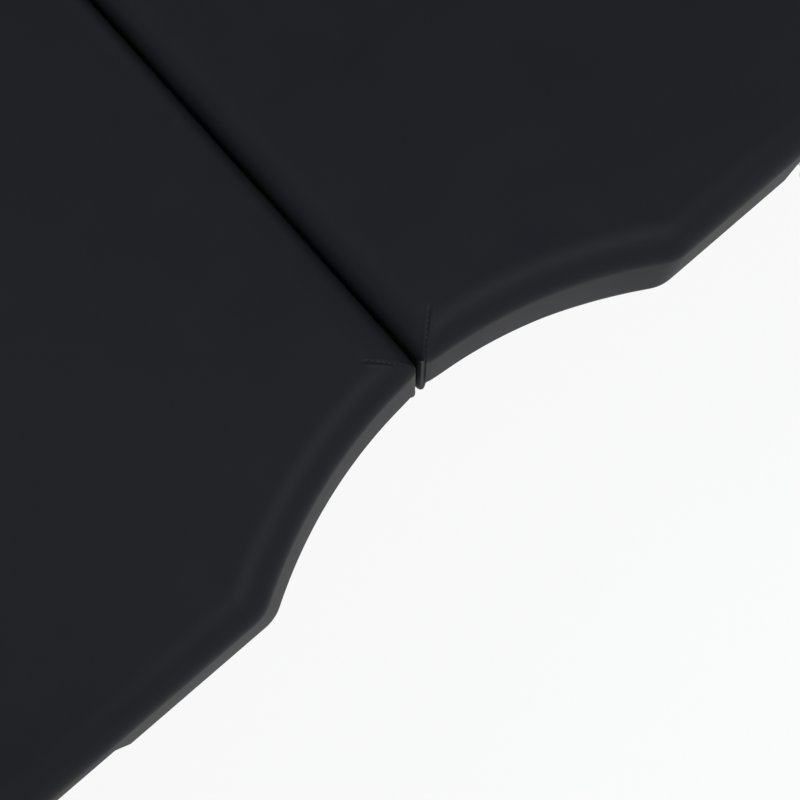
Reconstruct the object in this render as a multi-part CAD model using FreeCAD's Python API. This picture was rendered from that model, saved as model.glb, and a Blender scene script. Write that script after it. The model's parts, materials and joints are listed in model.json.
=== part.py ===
import FreeCAD, Part

import math
import os

from FreeCAD import Vector

# Folding massage table in two halves, in millimetres.
# The origin is on the floor under the middle, +X runs along the right half, -Y is the near side, +Z is up.

# Overall form
HALF_LENGTH = 930.0
HALF_WIDTH = 350.0
TABLE_HEIGHT = 570.0
FOLD_GAP = 1.5
HEIGHT_TRAVEL = 220.0

# Waist: a hollow arc on each long side, centred on the fold
WAIST_LENGTH = 220.0
WAIST_DEPTH = 74.0
WAIST_RADIUS = 560.0
WAIST_CORNER_ROUND = 40.0
FOLD_CORNER_ROUND = 30.0
OUTER_CORNER_ROUND = 32.0

# Padding
LEATHER = 1.2
FOAM_THICKNESS = 46.0
DECK_THICKNESS = 6.0
PAD_EDGE_ROUND = 27.0
HEM_WIDTH = 5.0

# Wooden frame under each half
PAD_OVERHANG = 8.0
RAIL_HEIGHT = 68.0
RAIL_THICKNESS = 20.0
RAIL_END_ROUND = 19.0
WAIST_RAIL_TAIL = 150.0
BATTEN_HEIGHT = 40.0
BATTEN_THICKNESS = 20.0
BATTEN_Y = 150.0
GLUE_BLOCK = 24.0
SPLICE_LENGTH = 120.0
BLOCK_DROP = 6.0

# Fold hinges
HINGE_LEAF = 2.0
HINGE_LEAF_GAP = 0.2
HINGE_LEAF_HEIGHT = 46.0
HINGE_LENGTH = 76.0
HINGE_SPACING = 180.0
HINGE_PIN_RADIUS = 2.0
KNUCKLE_RADIUS = 4.2
KNUCKLES = 5
HINGE_DROP = 0.5
HINGE_END_GAP = 1.0
HINGE_PIN_HEAD_RADIUS = 3.0
HINGE_PIN_HEAD_HEIGHT = 0.6

# Legs
LEG_PIVOT_INSET = 62.0
LEG_PIVOT_RISE = 44.0
LEG_WIDTH = 40.0
LEG_THICKNESS = 22.0
LEG_RAIL_SPACE = 16.0
LEG_EDGE_ROUND = 3.0
UPPER_LEG_CLEAR = 67.8
LOWER_LEG_HEAD = 24.0
CROSSBAR_HEIGHT = 50.0
CROSSBAR_THICKNESS = 18.0
CROSSBAR_ABOVE_GUIDE = 90.0
CROSSBAR_ARCH = 14.0
KNOB_BOLT_RISE = 20.0
BOLT_SPACING = 65.0
BOLT_RADIUS = 4.0
BOLT_HEAD_RADIUS = 8.0
BOLT_HEAD_HEIGHT = 3.5
NUT_RADIUS = 7.0
NUT_HEIGHT = 6.0

# Rubber feet
FOOT_HEIGHT = 34.0
FOOT_SOLE = 12.0
FOOT_WALL = 1.4
FOOT_ROUND = 4.2

# Star knobs
KNOB_RADIUS = 18.0
KNOB_HEIGHT = 20.0
KNOB_LOBES = 5
KNOB_HOLLOW_RADIUS = 9.0
KNOB_EDGE_ROUND = 2.0
KNOB_CAP = 4.0

# Leg pivots
PIVOT_RADIUS = 5.0
PIVOT_HEAD_RADIUS = 9.0
PIVOT_HEAD_HEIGHT = 4.0
PIVOT_HEAD_ROUND = 3.0
PIVOT_NUT_HEIGHT = 8.0
BUSH_RADIUS = 9.0

# Folding stays
STAY_REACH = 270.0
STAY_DROP = 130.0
STAY_WIDTH = 18.0
STAY_THICKNESS = 3.0
STAY_LANE = 3.5
RIVET_RADIUS = 3.0
RIVET_HEAD_RADIUS = 6.0
RIVET_HEAD_HEIGHT = 2.2
RIVET_ROOT = 11.0
KNEE_HEAD_HEIGHT = 1.5

# Carrying handle on the right half's near rail
HANDLE_FROM_WAIST_RAIL = 90.0
HANDLE_SPAN = 100.0
HANDLE_DEPTH = 46.0
HANDLE_RISE = 20.0
HANDLE_OFFSET = 11.0
HANDLE_ROD_RADIUS = 4.5
HANDLE_GRIP_RADIUS = 9.0
HANDLE_GRIP_LENGTH = 66.0
HANDLE_GRIP_CROWN = 2.0
HANDLE_BEND = 12.0
HANDLE_PIN_RADIUS = 3.5
HANDLE_PIN_SHORT = 1.0
EAR_RADIUS = 6.5
EAR_LENGTH = 10.0
LEAF_LENGTH = 40.0
LEAF_HEIGHT = 34.0
LEAF_THICKNESS = 2.5
LEAF_TIP_ROUND = 3.0
LEAF_ROOT_SHARE = 0.7

# Hook latches between the folded halves
HOOK_FROM_LEG_PIVOT = 168.0
HOOK_PIVOT_RISE = 34.0
HOOK_LENGTH = 52.0
HOOK_SWING = 25.0
HOOK_WIDTH = 12.0
HOOK_HEAD_RADIUS = 11.0
HOOK_THICKNESS = 2.5
HOOK_STANDOFF = 1.5
CATCH_RADIUS = 4.0
CATCH_HEAD_RADIUS = 7.0
CATCH_HEAD_HEIGHT = 1.8

# Headrest sockets in the left half's end rail
SOCKET_SPACING = 200.0
SOCKET_BORE_RADIUS = 10.25
SOCKET_WALL = 2.5
SOCKET_FLANGE_RADIUS = 18.0
SOCKET_FLANGE = 3.0

# Fits
RUNNING = 0.05
SLIDING = 0.3
HEAD_GAP = 0.3
FILLET_SPARE = 0.2

# Levels and planes that follow from the sizes above
PAD_TOP = TABLE_HEIGHT
FOAM_TOP = PAD_TOP - LEATHER
DECK_TOP = FOAM_TOP - FOAM_THICKNESS
RAIL_TOP = DECK_TOP - DECK_THICKNESS
RAIL_BOTTOM = RAIL_TOP - RAIL_HEIGHT
HINGE_Z = RAIL_BOTTOM - HINGE_DROP
LEG_PIVOT_Z = RAIL_BOTTOM + LEG_PIVOT_RISE
FRAME_FOLD_X = HINGE_LEAF_GAP + HINGE_LEAF
FRAME_END_X = HALF_LENGTH - PAD_OVERHANG
RAIL_OUTER_Y = HALF_WIDTH - PAD_OVERHANG
RAIL_INNER_Y = RAIL_OUTER_Y - RAIL_THICKNESS
LEG_OUTER_Y = RAIL_INNER_Y - LEG_RAIL_SPACE
LEG_INNER_Y = LEG_OUTER_Y - LEG_THICKNESS
LOWER_OUTER_Y = LEG_INNER_Y - SLIDING
LOWER_INNER_Y = LOWER_OUTER_Y - LEG_THICKNESS
WAIST_RAIL_END = WAIST_LENGTH + WAIST_RAIL_TAIL
LEG_PIVOT_X = HALF_LENGTH - LEG_PIVOT_INSET
HANDLE_X = WAIST_RAIL_END + HANDLE_FROM_WAIST_RAIL
HOOK_PIVOT_X = LEG_PIVOT_X - HOOK_FROM_LEG_PIVOT

# Drops below the leg pivot
UPPER_LEG_LENGTH = LEG_PIVOT_Z - UPPER_LEG_CLEAR
KNOB_BOLT_DROP = UPPER_LEG_LENGTH - KNOB_BOLT_RISE
GUIDE_BOLT_DROP = KNOB_BOLT_DROP - BOLT_SPACING
CROSSBAR_DROP = GUIDE_BOLT_DROP - CROSSBAR_ABOVE_GUIDE
LOWER_LEG_START = GUIDE_BOLT_DROP - HEIGHT_TRAVEL - LOWER_LEG_HEAD

# Stay pivots and lengths: the two links lie straight when open and fold back on each other
STAY_ANCHOR = Vector(LEG_PIVOT_X - STAY_REACH, 0, LEG_PIVOT_Z)
STAY_LEG_END = Vector(LEG_PIVOT_X, 0, LEG_PIVOT_Z - STAY_DROP)
STAY_OPEN = math.hypot(STAY_REACH, STAY_DROP)
STAY_FOLDED = STAY_REACH - STAY_DROP
UPPER_STAY_LENGTH = (STAY_OPEN - STAY_FOLDED) / 2
STAY_KNEE = STAY_ANCHOR + (STAY_LEG_END - STAY_ANCHOR) * (UPPER_STAY_LENGTH / STAY_OPEN)
UPPER_STAY_OUTER_Y = RAIL_INNER_Y - STAY_THICKNESS
UPPER_STAY_INNER_Y = UPPER_STAY_OUTER_Y - STAY_THICKNESS
LOWER_STAY_OUTER_Y = UPPER_STAY_INNER_Y - STAY_LANE
LOWER_STAY_INNER_Y = LOWER_STAY_OUTER_Y - STAY_THICKNESS

# Hook latch: where the hook's mouth hangs, and where the catch meets it once folded
HOOK_PIVOT_Z = HINGE_Z + HOOK_PIVOT_RISE
HOOK_INNER_Y = RAIL_OUTER_Y + HOOK_STANDOFF
HOOK_OUTER_Y = HOOK_INNER_Y + HOOK_THICKNESS
CATCH_X = HOOK_PIVOT_X + HOOK_LENGTH * math.sin(math.radians(HOOK_SWING))
CATCH_Z = HINGE_Z - (HOOK_PIVOT_RISE - HOOK_LENGTH * math.cos(math.radians(HOOK_SWING)))

X_AXIS = Vector(1, 0, 0)
Y_AXIS = Vector(0, 1, 0)
Z_AXIS = Vector(0, 0, 1)


def box(x0, x1, y0, y1, z0, z1):
    """A block between two corners."""
    return Part.makeBox(x1 - x0, y1 - y0, z1 - z0, Vector(x0, y0, z0))


def rod_y(radius, x, z, y0, y1):
    """A round bar across the table, from y0 to y1."""
    return Part.makeCylinder(radius, y1 - y0, Vector(x, y0, z), Y_AXIS)


def rod_x(radius, y, z, x0, x1):
    """A round bar along the table, from x0 to x1."""
    return Part.makeCylinder(radius, x1 - x0, Vector(x0, y, z), X_AXIS)


def fuse(*shapes):
    """Joins shapes into one clean solid."""
    return shapes[0].multiFuse(list(shapes[1:])).removeSplitter()


def group(*shapes):
    """Keeps separate solids together under one name."""
    return Part.makeCompound(list(shapes))


def across_x(shape):
    """The mirror image on the other half."""
    return shape.mirror(Vector(0, 0, 0), X_AXIS)


def across_y(shape):
    """The mirror image on the other long side."""
    return shape.mirror(Vector(0, 0, 0), Y_AXIS)


def fillet_where(shape, radius, test):
    """Rounds every edge that passes a test."""
    edges = [edge for edge in shape.Edges if test(edge)]
    return shape.makeFillet(radius, edges)


def runs_along(edge, axis):
    """True for a straight edge that lies along an axis."""
    if len(edge.Vertexes) != 2 or not isinstance(edge.Curve, Part.Line):
        return False
    way = edge.Vertexes[1].Point - edge.Vertexes[0].Point
    return abs(abs(way.dot(axis)) - way.Length) < 1e-6


def waist_centre():
    """Centre of the near side's waist arc, which lies outside the table."""
    chord = Vector(WAIST_LENGTH, -WAIST_DEPTH, 0)
    middle = Vector(0, WAIST_DEPTH - HALF_WIDTH, 0) + chord * 0.5
    outward = Vector(-WAIST_DEPTH, -WAIST_LENGTH, 0).normalize()
    return middle + outward * math.sqrt(WAIST_RADIUS**2 - (chord.Length / 2) ** 2)


def outline_corners(inset, fold_x, end_x):
    """Plan points on the near side, at the fold, half way round the waist, at its end and at the end."""
    centre = waist_centre()
    radius = WAIST_RADIUS + inset
    side_y = inset - HALF_WIDTH
    corner_x = centre.x + math.sqrt(radius**2 - (side_y - centre.y) ** 2)
    middle_x = (fold_x + corner_x) / 2
    fold_y = centre.y + math.sqrt(radius**2 - (fold_x - centre.x) ** 2)
    middle_y = centre.y + math.sqrt(radius**2 - (middle_x - centre.x) ** 2)
    return (
        Vector(fold_x, fold_y, 0),
        Vector(middle_x, middle_y, 0),
        Vector(corner_x, side_y, 0),
        Vector(end_x, side_y, 0),
    )


def far_side(point):
    """The same plan point on the far side."""
    return Vector(point.x, -point.y, point.z)


def plan_prism(inset, fold_x, end_x, z0, z1):
    """The right half's plan, set in from its sides and raised between two levels."""
    fold, middle, corner, end = outline_corners(inset, fold_x, end_x)
    edges = [
        Part.Arc(fold, middle, corner).toShape(),
        Part.LineSegment(corner, end).toShape(),
        Part.LineSegment(end, far_side(end)).toShape(),
        Part.LineSegment(far_side(end), far_side(corner)).toShape(),
        Part.Arc(far_side(corner), far_side(middle), far_side(fold)).toShape(),
        Part.LineSegment(far_side(fold), fold).toShape(),
    ]
    face = Part.Face(Part.Wire(edges))
    face.translate(Vector(0, 0, z0))
    prism = face.extrude(Vector(0, 0, z1 - z0))
    return round_upright(prism, corner, WAIST_CORNER_ROUND - inset)


def round_upright(prism, corner, radius):
    """Rounds the upright edges at a plan point and at its twin on the far side."""

    def at_corner(edge):
        point = edge.Vertexes[0].Point
        beside = math.hypot(point.x - corner.x, abs(point.y) - abs(corner.y)) < 1e-3
        return beside and runs_along(edge, Z_AXIS)

    return fillet_where(prism, radius, at_corner)


def pad_body(inset, z0, z1):
    """The padded shape of the right half, set in all round, with soft top edges."""
    fold_x = FOLD_GAP + inset
    end_x = HALF_LENGTH - inset
    fold, _, _, end = outline_corners(inset, fold_x, end_x)
    body = plan_prism(inset, fold_x, end_x, z0, z1)
    body = round_upright(body, fold, FOLD_CORNER_ROUND - inset)
    body = round_upright(body, end, OUTER_CORNER_ROUND - inset)
    on_top = lambda edge: all(abs(vertex.Z - z1) < 1e-6 for vertex in edge.Vertexes)
    return fillet_where(body, PAD_EDGE_ROUND - inset, on_top)


def cover():
    """Leatherette over the top, the sides and a narrow hem under the deck's edge."""
    hem = RAIL_TOP - LEATHER
    outer = pad_body(0, hem, PAD_TOP)
    filling = pad_body(LEATHER, RAIL_TOP, FOAM_TOP)
    opening = plan_prism(HEM_WIDTH, 0, HALF_LENGTH - HEM_WIDTH, hem, RAIL_TOP)
    end = outline_corners(HEM_WIDTH, 0, HALF_LENGTH - HEM_WIDTH)[3]
    opening = round_upright(opening, end, OUTER_CORNER_ROUND - HEM_WIDTH)
    return outer.cut(filling).cut(opening)


def foam():
    """The foam slab under the cover."""
    return pad_body(LEATHER, DECK_TOP, FOAM_TOP)


def deck():
    """The plywood deck that the foam is glued to."""
    return pad_plan(LEATHER, RAIL_TOP, DECK_TOP)


def pad_plan(inset, z0, z1):
    """The padded shape's plan with square top edges."""
    fold_x = FOLD_GAP + inset
    end_x = HALF_LENGTH - inset
    fold, _, _, end = outline_corners(inset, fold_x, end_x)
    plate = plan_prism(inset, fold_x, end_x, z0, z1)
    plate = round_upright(plate, fold, FOLD_CORNER_ROUND - inset)
    return round_upright(plate, end, OUTER_CORNER_ROUND - inset)


def waist_band(outer_inset, inner_inset):
    """A strip that follows the waist on the far side, from the fold to the straight rail."""
    end_x = HALF_LENGTH
    outer = plan_prism(outer_inset, FRAME_FOLD_X, end_x, RAIL_BOTTOM, RAIL_TOP)
    inner = plan_prism(inner_inset, FRAME_FOLD_X, end_x, RAIL_BOTTOM, RAIL_TOP)
    window = box(FRAME_FOLD_X, WAIST_RAIL_END, 0, HALF_WIDTH, RAIL_BOTTOM, RAIL_TOP)
    return outer.cut(inner).common(window).Solids[0]


def waist_rail():
    """Laminated curved rail along the waist."""
    return waist_band(PAD_OVERHANG + LEATHER, PAD_OVERHANG + RAIL_THICKNESS)


def skirt():
    """Leatherette glued over the curved rail's outer face."""
    return waist_band(PAD_OVERHANG, PAD_OVERHANG + LEATHER)


def side_rail():
    """Straight hardwood rail on the far side, with its holes for the leg pivot and the stay."""
    rail = box(WAIST_RAIL_END, FRAME_END_X, RAIL_INNER_Y, RAIL_OUTER_Y, RAIL_BOTTOM, RAIL_TOP)
    outside = lambda edge: (
        runs_along(edge, Z_AXIS)
        and abs(edge.Vertexes[0].X - FRAME_END_X) < 1e-6
        and abs(edge.Vertexes[0].Y - RAIL_OUTER_Y) < 1e-6
    )
    rail = fillet_where(rail, RAIL_END_ROUND, outside)
    pivot = rod_y(PIVOT_RADIUS + RUNNING, LEG_PIVOT_X, LEG_PIVOT_Z, RAIL_INNER_Y, RAIL_OUTER_Y)
    anchor = root_hole(STAY_ANCHOR, RAIL_INNER_Y, 1)
    return rail.cut(pivot).cut(anchor)


def root_hole(point, face_y, way):
    """A blind hole for a rivet or screw root, sunk from a face towards +Y or -Y."""
    depth = RIVET_ROOT + RUNNING
    low = min(face_y, face_y + way * depth)
    return rod_y(RIVET_RADIUS + RUNNING, point.x, point.z, low, low + depth)


def end_rail():
    """Hardwood rail across the outer end, between the side rails."""
    inner_x = FRAME_END_X - RAIL_THICKNESS
    return box(inner_x, FRAME_END_X, -RAIL_INNER_Y, RAIL_INNER_Y, RAIL_BOTTOM, RAIL_TOP)


def hinge_places():
    """Where the three fold hinges sit across the table."""
    return (-HINGE_SPACING, 0.0, HINGE_SPACING)


def fold_rail():
    """Hardwood rail along the fold, hollowed for the hinge knuckles."""
    inner = plan_prism(PAD_OVERHANG + RAIL_THICKNESS, FRAME_FOLD_X, HALF_LENGTH, RAIL_BOTTOM, RAIL_TOP)
    strip = box(
        FRAME_FOLD_X, FRAME_FOLD_X + RAIL_THICKNESS, -HALF_WIDTH, HALF_WIDTH, RAIL_BOTTOM, RAIL_TOP
    )
    rail = inner.common(strip).Solids[0]
    reach = HINGE_LENGTH / 2 + HINGE_END_GAP
    for y in hinge_places():
        rail = rail.cut(rod_y(KNUCKLE_RADIUS + SLIDING, 0, HINGE_Z, y - reach, y + reach))
    return rail


def battens():
    """Two stiffening battens under the deck, from the fold rail to the end rail."""
    x0 = FRAME_FOLD_X + RAIL_THICKNESS
    x1 = FRAME_END_X - RAIL_THICKNESS
    half = BATTEN_THICKNESS / 2
    far = box(x0, x1, BATTEN_Y - half, BATTEN_Y + half, RAIL_TOP - BATTEN_HEIGHT, RAIL_TOP)
    return group(far, across_y(far))


def triangle_block(x, y, way_x):
    """A glue block in the corner of two rails, on the far side."""
    z0 = RAIL_BOTTOM + BLOCK_DROP
    points = [
        Vector(x, y, z0),
        Vector(x + way_x * GLUE_BLOCK, y, z0),
        Vector(x, y - GLUE_BLOCK, z0),
        Vector(x, y, z0),
    ]
    return Part.Face(Part.makePolygon(points)).extrude(Vector(0, 0, RAIL_TOP - z0))


def corner_blocks():
    """Glue blocks at the end rail, and splice blocks where the curved rail meets the straight one."""
    end = triangle_block(FRAME_END_X - RAIL_THICKNESS, RAIL_INNER_Y, -1)
    splice = box(
        WAIST_RAIL_END - SPLICE_LENGTH / 2,
        WAIST_RAIL_END + SPLICE_LENGTH / 2,
        RAIL_INNER_Y - RAIL_THICKNESS,
        RAIL_INNER_Y,
        RAIL_BOTTOM + BLOCK_DROP,
        RAIL_TOP,
    )
    return group(end, splice, across_y(end), across_y(splice))


def knuckle_bands(parity):
    """The stretches of a hinge's length that belong to one leaf."""
    step = HINGE_LENGTH / KNUCKLES
    low = -HINGE_LENGTH / 2
    return [
        (low + index * step + HEAD_GAP / 2, low + (index + 1) * step - HEAD_GAP / 2)
        for index in range(KNUCKLES)
        if index % 2 == parity
    ]


def hinge_leaf(y, parity):
    """One leaf of a butt hinge on the right half, with its share of the knuckles."""
    half = HINGE_LENGTH / 2
    leaf = box(
        HINGE_LEAF_GAP, FRAME_FOLD_X, y - half, y + half, HINGE_Z, HINGE_Z + HINGE_LEAF_HEIGHT
    )
    for low, high in knuckle_bands(1 - parity):
        gap = rod_y(KNUCKLE_RADIUS + SLIDING, 0, HINGE_Z, y + low - HEAD_GAP, y + high + HEAD_GAP)
        leaf = leaf.cut(gap)
    knuckles = [
        rod_y(KNUCKLE_RADIUS, 0, HINGE_Z, y + low, y + high) for low, high in knuckle_bands(parity)
    ]
    bore = rod_y(HINGE_PIN_RADIUS + RUNNING, 0, HINGE_Z, y - half, y + half)
    return fuse(leaf, *knuckles).cut(bore)


def hinge_leaves(parity):
    """The three leaves on one half."""
    return group(*[hinge_leaf(y, parity) for y in hinge_places()])


def hinge_pins():
    """The three hinge pins, with a low head at each end."""
    half = HINGE_LENGTH / 2 + HEAD_GAP
    tip = half + HINGE_PIN_HEAD_HEIGHT
    pins = []
    for y in hinge_places():
        shank = rod_y(HINGE_PIN_RADIUS, 0, HINGE_Z, y - half, y + half)
        near = rod_y(HINGE_PIN_HEAD_RADIUS, 0, HINGE_Z, y - tip, y - half)
        far = rod_y(HINGE_PIN_HEAD_RADIUS, 0, HINGE_Z, y + half, y + tip)
        pins.append(fuse(shank, near, far))
    return group(*pins)


def leg_bar(width, top_z, bottom_z, y0, y1):
    """An upright leg bar with a round upper end and eased long edges."""
    half = width / 2
    centre_z = top_z - half
    bar = fuse(
        box(LEG_PIVOT_X - half, LEG_PIVOT_X + half, y0, y1, bottom_z, centre_z),
        rod_y(half, LEG_PIVOT_X, centre_z, y0, y1),
    )
    long_corner = lambda edge: runs_along(edge, Z_AXIS) and long_edge(edge, y0, y1)
    return fillet_where(bar, LEG_EDGE_ROUND, long_corner)


def long_edge(edge, y0, y1):
    """True for a leg bar's long corner edge."""
    y = edge.Vertexes[0].Y
    return edge.Length > LEG_WIDTH and min(abs(y - y0), abs(y - y1)) < 1e-6


def upper_leg():
    """The leg's upper bar on the far side, which turns on the rail."""
    bottom = LEG_PIVOT_Z - UPPER_LEG_LENGTH
    bar = leg_bar(LEG_WIDTH, LEG_PIVOT_Z + LEG_WIDTH / 2, bottom, LEG_INNER_Y, LEG_OUTER_Y)
    bar = bar.cut(rod_y(PIVOT_RADIUS + RUNNING, LEG_PIVOT_X, LEG_PIVOT_Z, LEG_INNER_Y, LEG_OUTER_Y))
    bar = bar.cut(root_hole(STAY_LEG_END, LEG_OUTER_Y, -1))
    for drop in (GUIDE_BOLT_DROP, KNOB_BOLT_DROP):
        z = LEG_PIVOT_Z - drop
        sink = BOLT_HEAD_HEIGHT + HEAD_GAP
        bar = bar.cut(rod_y(BOLT_RADIUS + RUNNING, LEG_PIVOT_X, z, LEG_INNER_Y, LEG_OUTER_Y))
        bar = bar.cut(
            rod_y(BOLT_HEAD_RADIUS + HEAD_GAP, LEG_PIVOT_X, z, LEG_OUTER_Y - sink, LEG_OUTER_Y)
        )
    return bar


def crossbar():
    """The arched bar that ties the two upper legs, screwed to their outer-end faces."""
    x = LEG_PIVOT_X + LEG_WIDTH / 2
    top = LEG_PIVOT_Z - CROSSBAR_DROP + CROSSBAR_HEIGHT / 2
    bottom = top - CROSSBAR_HEIGHT
    near_top = Vector(x, -LEG_OUTER_Y, top)
    far_top = Vector(x, LEG_OUTER_Y, top)
    near_bottom = Vector(x, -LEG_OUTER_Y, bottom)
    far_bottom = Vector(x, LEG_OUTER_Y, bottom)
    arch_near = Vector(x, -LOWER_INNER_Y, bottom)
    arch_far = Vector(x, LOWER_INNER_Y, bottom)
    edges = [
        Part.LineSegment(near_top, far_top).toShape(),
        Part.LineSegment(far_top, far_bottom).toShape(),
        Part.LineSegment(far_bottom, arch_far).toShape(),
        Part.Arc(arch_far, Vector(x, 0, bottom + CROSSBAR_ARCH), arch_near).toShape(),
        Part.LineSegment(arch_near, near_bottom).toShape(),
        Part.LineSegment(near_bottom, near_top).toShape(),
    ]
    return Part.Face(Part.Wire(edges)).extrude(Vector(CROSSBAR_THICKNESS, 0, 0))


def carriage_bolt(drop, inner_y):
    """A bolt whose head is sunk in the upper leg's outer face and whose end reaches inwards."""
    z = LEG_PIVOT_Z - drop
    seat = LEG_OUTER_Y - BOLT_HEAD_HEIGHT - HEAD_GAP
    head = rod_y(BOLT_HEAD_RADIUS, LEG_PIVOT_X, z, seat, seat + BOLT_HEAD_HEIGHT)
    return fuse(head, rod_y(BOLT_RADIUS, LEG_PIVOT_X, z, inner_y, seat))


def hexagon_nut(x, z, y0, y1):
    """A hexagon nut across the table."""
    points = [
        Vector(x + NUT_RADIUS * math.cos(turn), y0, z + NUT_RADIUS * math.sin(turn))
        for turn in (math.radians(60 * index) for index in range(7))
    ]
    return Part.Face(Part.makePolygon(points)).extrude(Vector(0, y1 - y0, 0))


def leg_fasteners():
    """Bolts through the far leg, its guide bolt's nut, and the rivet that carries the stay."""
    nut_outer = LOWER_INNER_Y - HEAD_GAP
    nut_inner = nut_outer - NUT_HEIGHT
    guide_z = LEG_PIVOT_Z - GUIDE_BOLT_DROP
    guide = fuse(
        carriage_bolt(GUIDE_BOLT_DROP, nut_inner),
        hexagon_nut(LEG_PIVOT_X, guide_z, nut_inner, nut_outer),
    )
    knob_bolt = carriage_bolt(KNOB_BOLT_DROP, LOWER_INNER_Y - HEAD_GAP - KNOB_HEIGHT + KNOB_CAP)
    lane = LEG_OUTER_Y
    rivet = fuse(
        rod_y(RIVET_RADIUS, LEG_PIVOT_X, STAY_LEG_END.z, lane - RIVET_ROOT, LOWER_STAY_OUTER_Y + HEAD_GAP),
        rod_y(RIVET_HEAD_RADIUS, LEG_PIVOT_X, STAY_LEG_END.z, lane, LOWER_STAY_INNER_Y - HEAD_GAP),
        rod_y(
            RIVET_HEAD_RADIUS,
            LEG_PIVOT_X,
            STAY_LEG_END.z,
            LOWER_STAY_OUTER_Y + HEAD_GAP,
            LOWER_STAY_OUTER_Y + HEAD_GAP + RIVET_HEAD_HEIGHT,
        ),
    )
    return (guide, knob_bolt, rivet)


def lower_leg():
    """The sliding lower bar on the far side, slotted for the two bolts."""
    width = LEG_WIDTH - 2 * SLIDING
    top = LEG_PIVOT_Z - LOWER_LEG_START
    bar = leg_bar(width, top, FOOT_SOLE, LOWER_INNER_Y, LOWER_OUTER_Y)
    half = BOLT_RADIUS + SLIDING
    slot_top = LEG_PIVOT_Z - GUIDE_BOLT_DROP + HEIGHT_TRAVEL
    slot_bottom = LEG_PIVOT_Z - KNOB_BOLT_DROP
    slot = fuse(
        box(LEG_PIVOT_X - half, LEG_PIVOT_X + half, LOWER_INNER_Y, LOWER_OUTER_Y, slot_bottom, slot_top),
        rod_y(half, LEG_PIVOT_X, slot_top, LOWER_INNER_Y, LOWER_OUTER_Y),
        rod_y(half, LEG_PIVOT_X, slot_bottom, LOWER_INNER_Y, LOWER_OUTER_Y),
    )
    return bar.cut(slot)


def foot():
    """A rubber boot on the end of the lower leg, with a domed sole."""
    half = LEG_WIDTH / 2 - SLIDING + FOOT_WALL
    boot = box(
        LEG_PIVOT_X - half,
        LEG_PIVOT_X + half,
        LOWER_INNER_Y - FOOT_WALL,
        LOWER_OUTER_Y + FOOT_WALL,
        0,
        FOOT_HEIGHT,
    )
    boot = fillet_where(boot, LEG_EDGE_ROUND + FOOT_WALL, lambda edge: runs_along(edge, Z_AXIS))
    sole = lambda edge: all(abs(vertex.Z) < 1e-6 for vertex in edge.Vertexes)
    boot = fillet_where(boot, min(FOOT_ROUND, LEG_EDGE_ROUND + FOOT_WALL - FILLET_SPARE), sole)
    bar = leg_bar(
        LEG_WIDTH - 2 * SLIDING,
        LEG_PIVOT_Z - LOWER_LEG_START,
        FOOT_SOLE,
        LOWER_INNER_Y,
        LOWER_OUTER_Y,
    )
    return boot.cut(bar)


def knob():
    """A five-lobed knob on the knob bolt, clamping the lower leg."""
    z = LEG_PIVOT_Z - KNOB_BOLT_DROP
    outer = LOWER_INNER_Y - HEAD_GAP
    body = rod_y(KNOB_RADIUS, LEG_PIVOT_X, z, outer - KNOB_HEIGHT, outer)
    for index in range(KNOB_LOBES):
        turn = 2 * math.pi * (index + 0.5) / KNOB_LOBES
        reach = KNOB_RADIUS + KNOB_HOLLOW_RADIUS / 2
        hollow = rod_y(
            KNOB_HOLLOW_RADIUS,
            LEG_PIVOT_X + reach * math.cos(turn),
            z + reach * math.sin(turn),
            outer - KNOB_HEIGHT,
            outer,
        )
        body = body.cut(hollow)
    rim = lambda edge: all(abs(vertex.Y - outer + KNOB_HEIGHT) < 1e-6 for vertex in edge.Vertexes)
    body = fillet_where(body, KNOB_EDGE_ROUND, rim)
    bore_end = outer - KNOB_HEIGHT + KNOB_CAP - HEAD_GAP
    return body.cut(rod_y(BOLT_RADIUS + RUNNING, LEG_PIVOT_X, z, bore_end, outer))


def leg_pivot():
    """The far leg's pivot bolt with its nut, and the bush that holds the leg off the rail."""
    outer = RAIL_OUTER_Y
    head = rod_y(PIVOT_HEAD_RADIUS, LEG_PIVOT_X, LEG_PIVOT_Z, outer, outer + PIVOT_HEAD_HEIGHT)
    rim = lambda edge: edge.Vertexes[0].Y > outer + PIVOT_HEAD_HEIGHT - 1e-6
    head = fillet_where(head, min(PIVOT_HEAD_ROUND, PIVOT_HEAD_HEIGHT - FILLET_SPARE), rim)
    nut_outer = LEG_INNER_Y - HEAD_GAP
    nut_inner = nut_outer - PIVOT_NUT_HEIGHT
    shank = rod_y(PIVOT_RADIUS, LEG_PIVOT_X, LEG_PIVOT_Z, nut_inner, outer)
    nut = hexagon_nut(LEG_PIVOT_X, LEG_PIVOT_Z, nut_inner, nut_outer)
    bush = rod_y(BUSH_RADIUS, LEG_PIVOT_X, LEG_PIVOT_Z, LEG_OUTER_Y + HEAD_GAP, RAIL_INNER_Y)
    bore = rod_y(PIVOT_RADIUS + RUNNING, LEG_PIVOT_X, LEG_PIVOT_Z, LEG_OUTER_Y, RAIL_INNER_Y)
    return (fuse(head, shank, nut), bush.cut(bore))


def stay_rivet():
    """The rivet that carries the upper stay on the far rail."""
    x = STAY_ANCHOR.x
    z = STAY_ANCHOR.z
    seat = UPPER_STAY_INNER_Y - HEAD_GAP
    return fuse(
        rod_y(RIVET_RADIUS, x, z, seat, RAIL_INNER_Y + RIVET_ROOT),
        rod_y(RIVET_HEAD_RADIUS, x, z, UPPER_STAY_OUTER_Y + HEAD_GAP, RAIL_INNER_Y),
        rod_y(RIVET_HEAD_RADIUS, x, z, seat - RIVET_HEAD_HEIGHT, seat),
    )


def pivot_hardware():
    """Everything metal that is fixed to the two side rails for the legs and stays."""
    far = [*leg_pivot(), stay_rivet()]
    return group(*far, *[across_y(shape) for shape in far])


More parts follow.
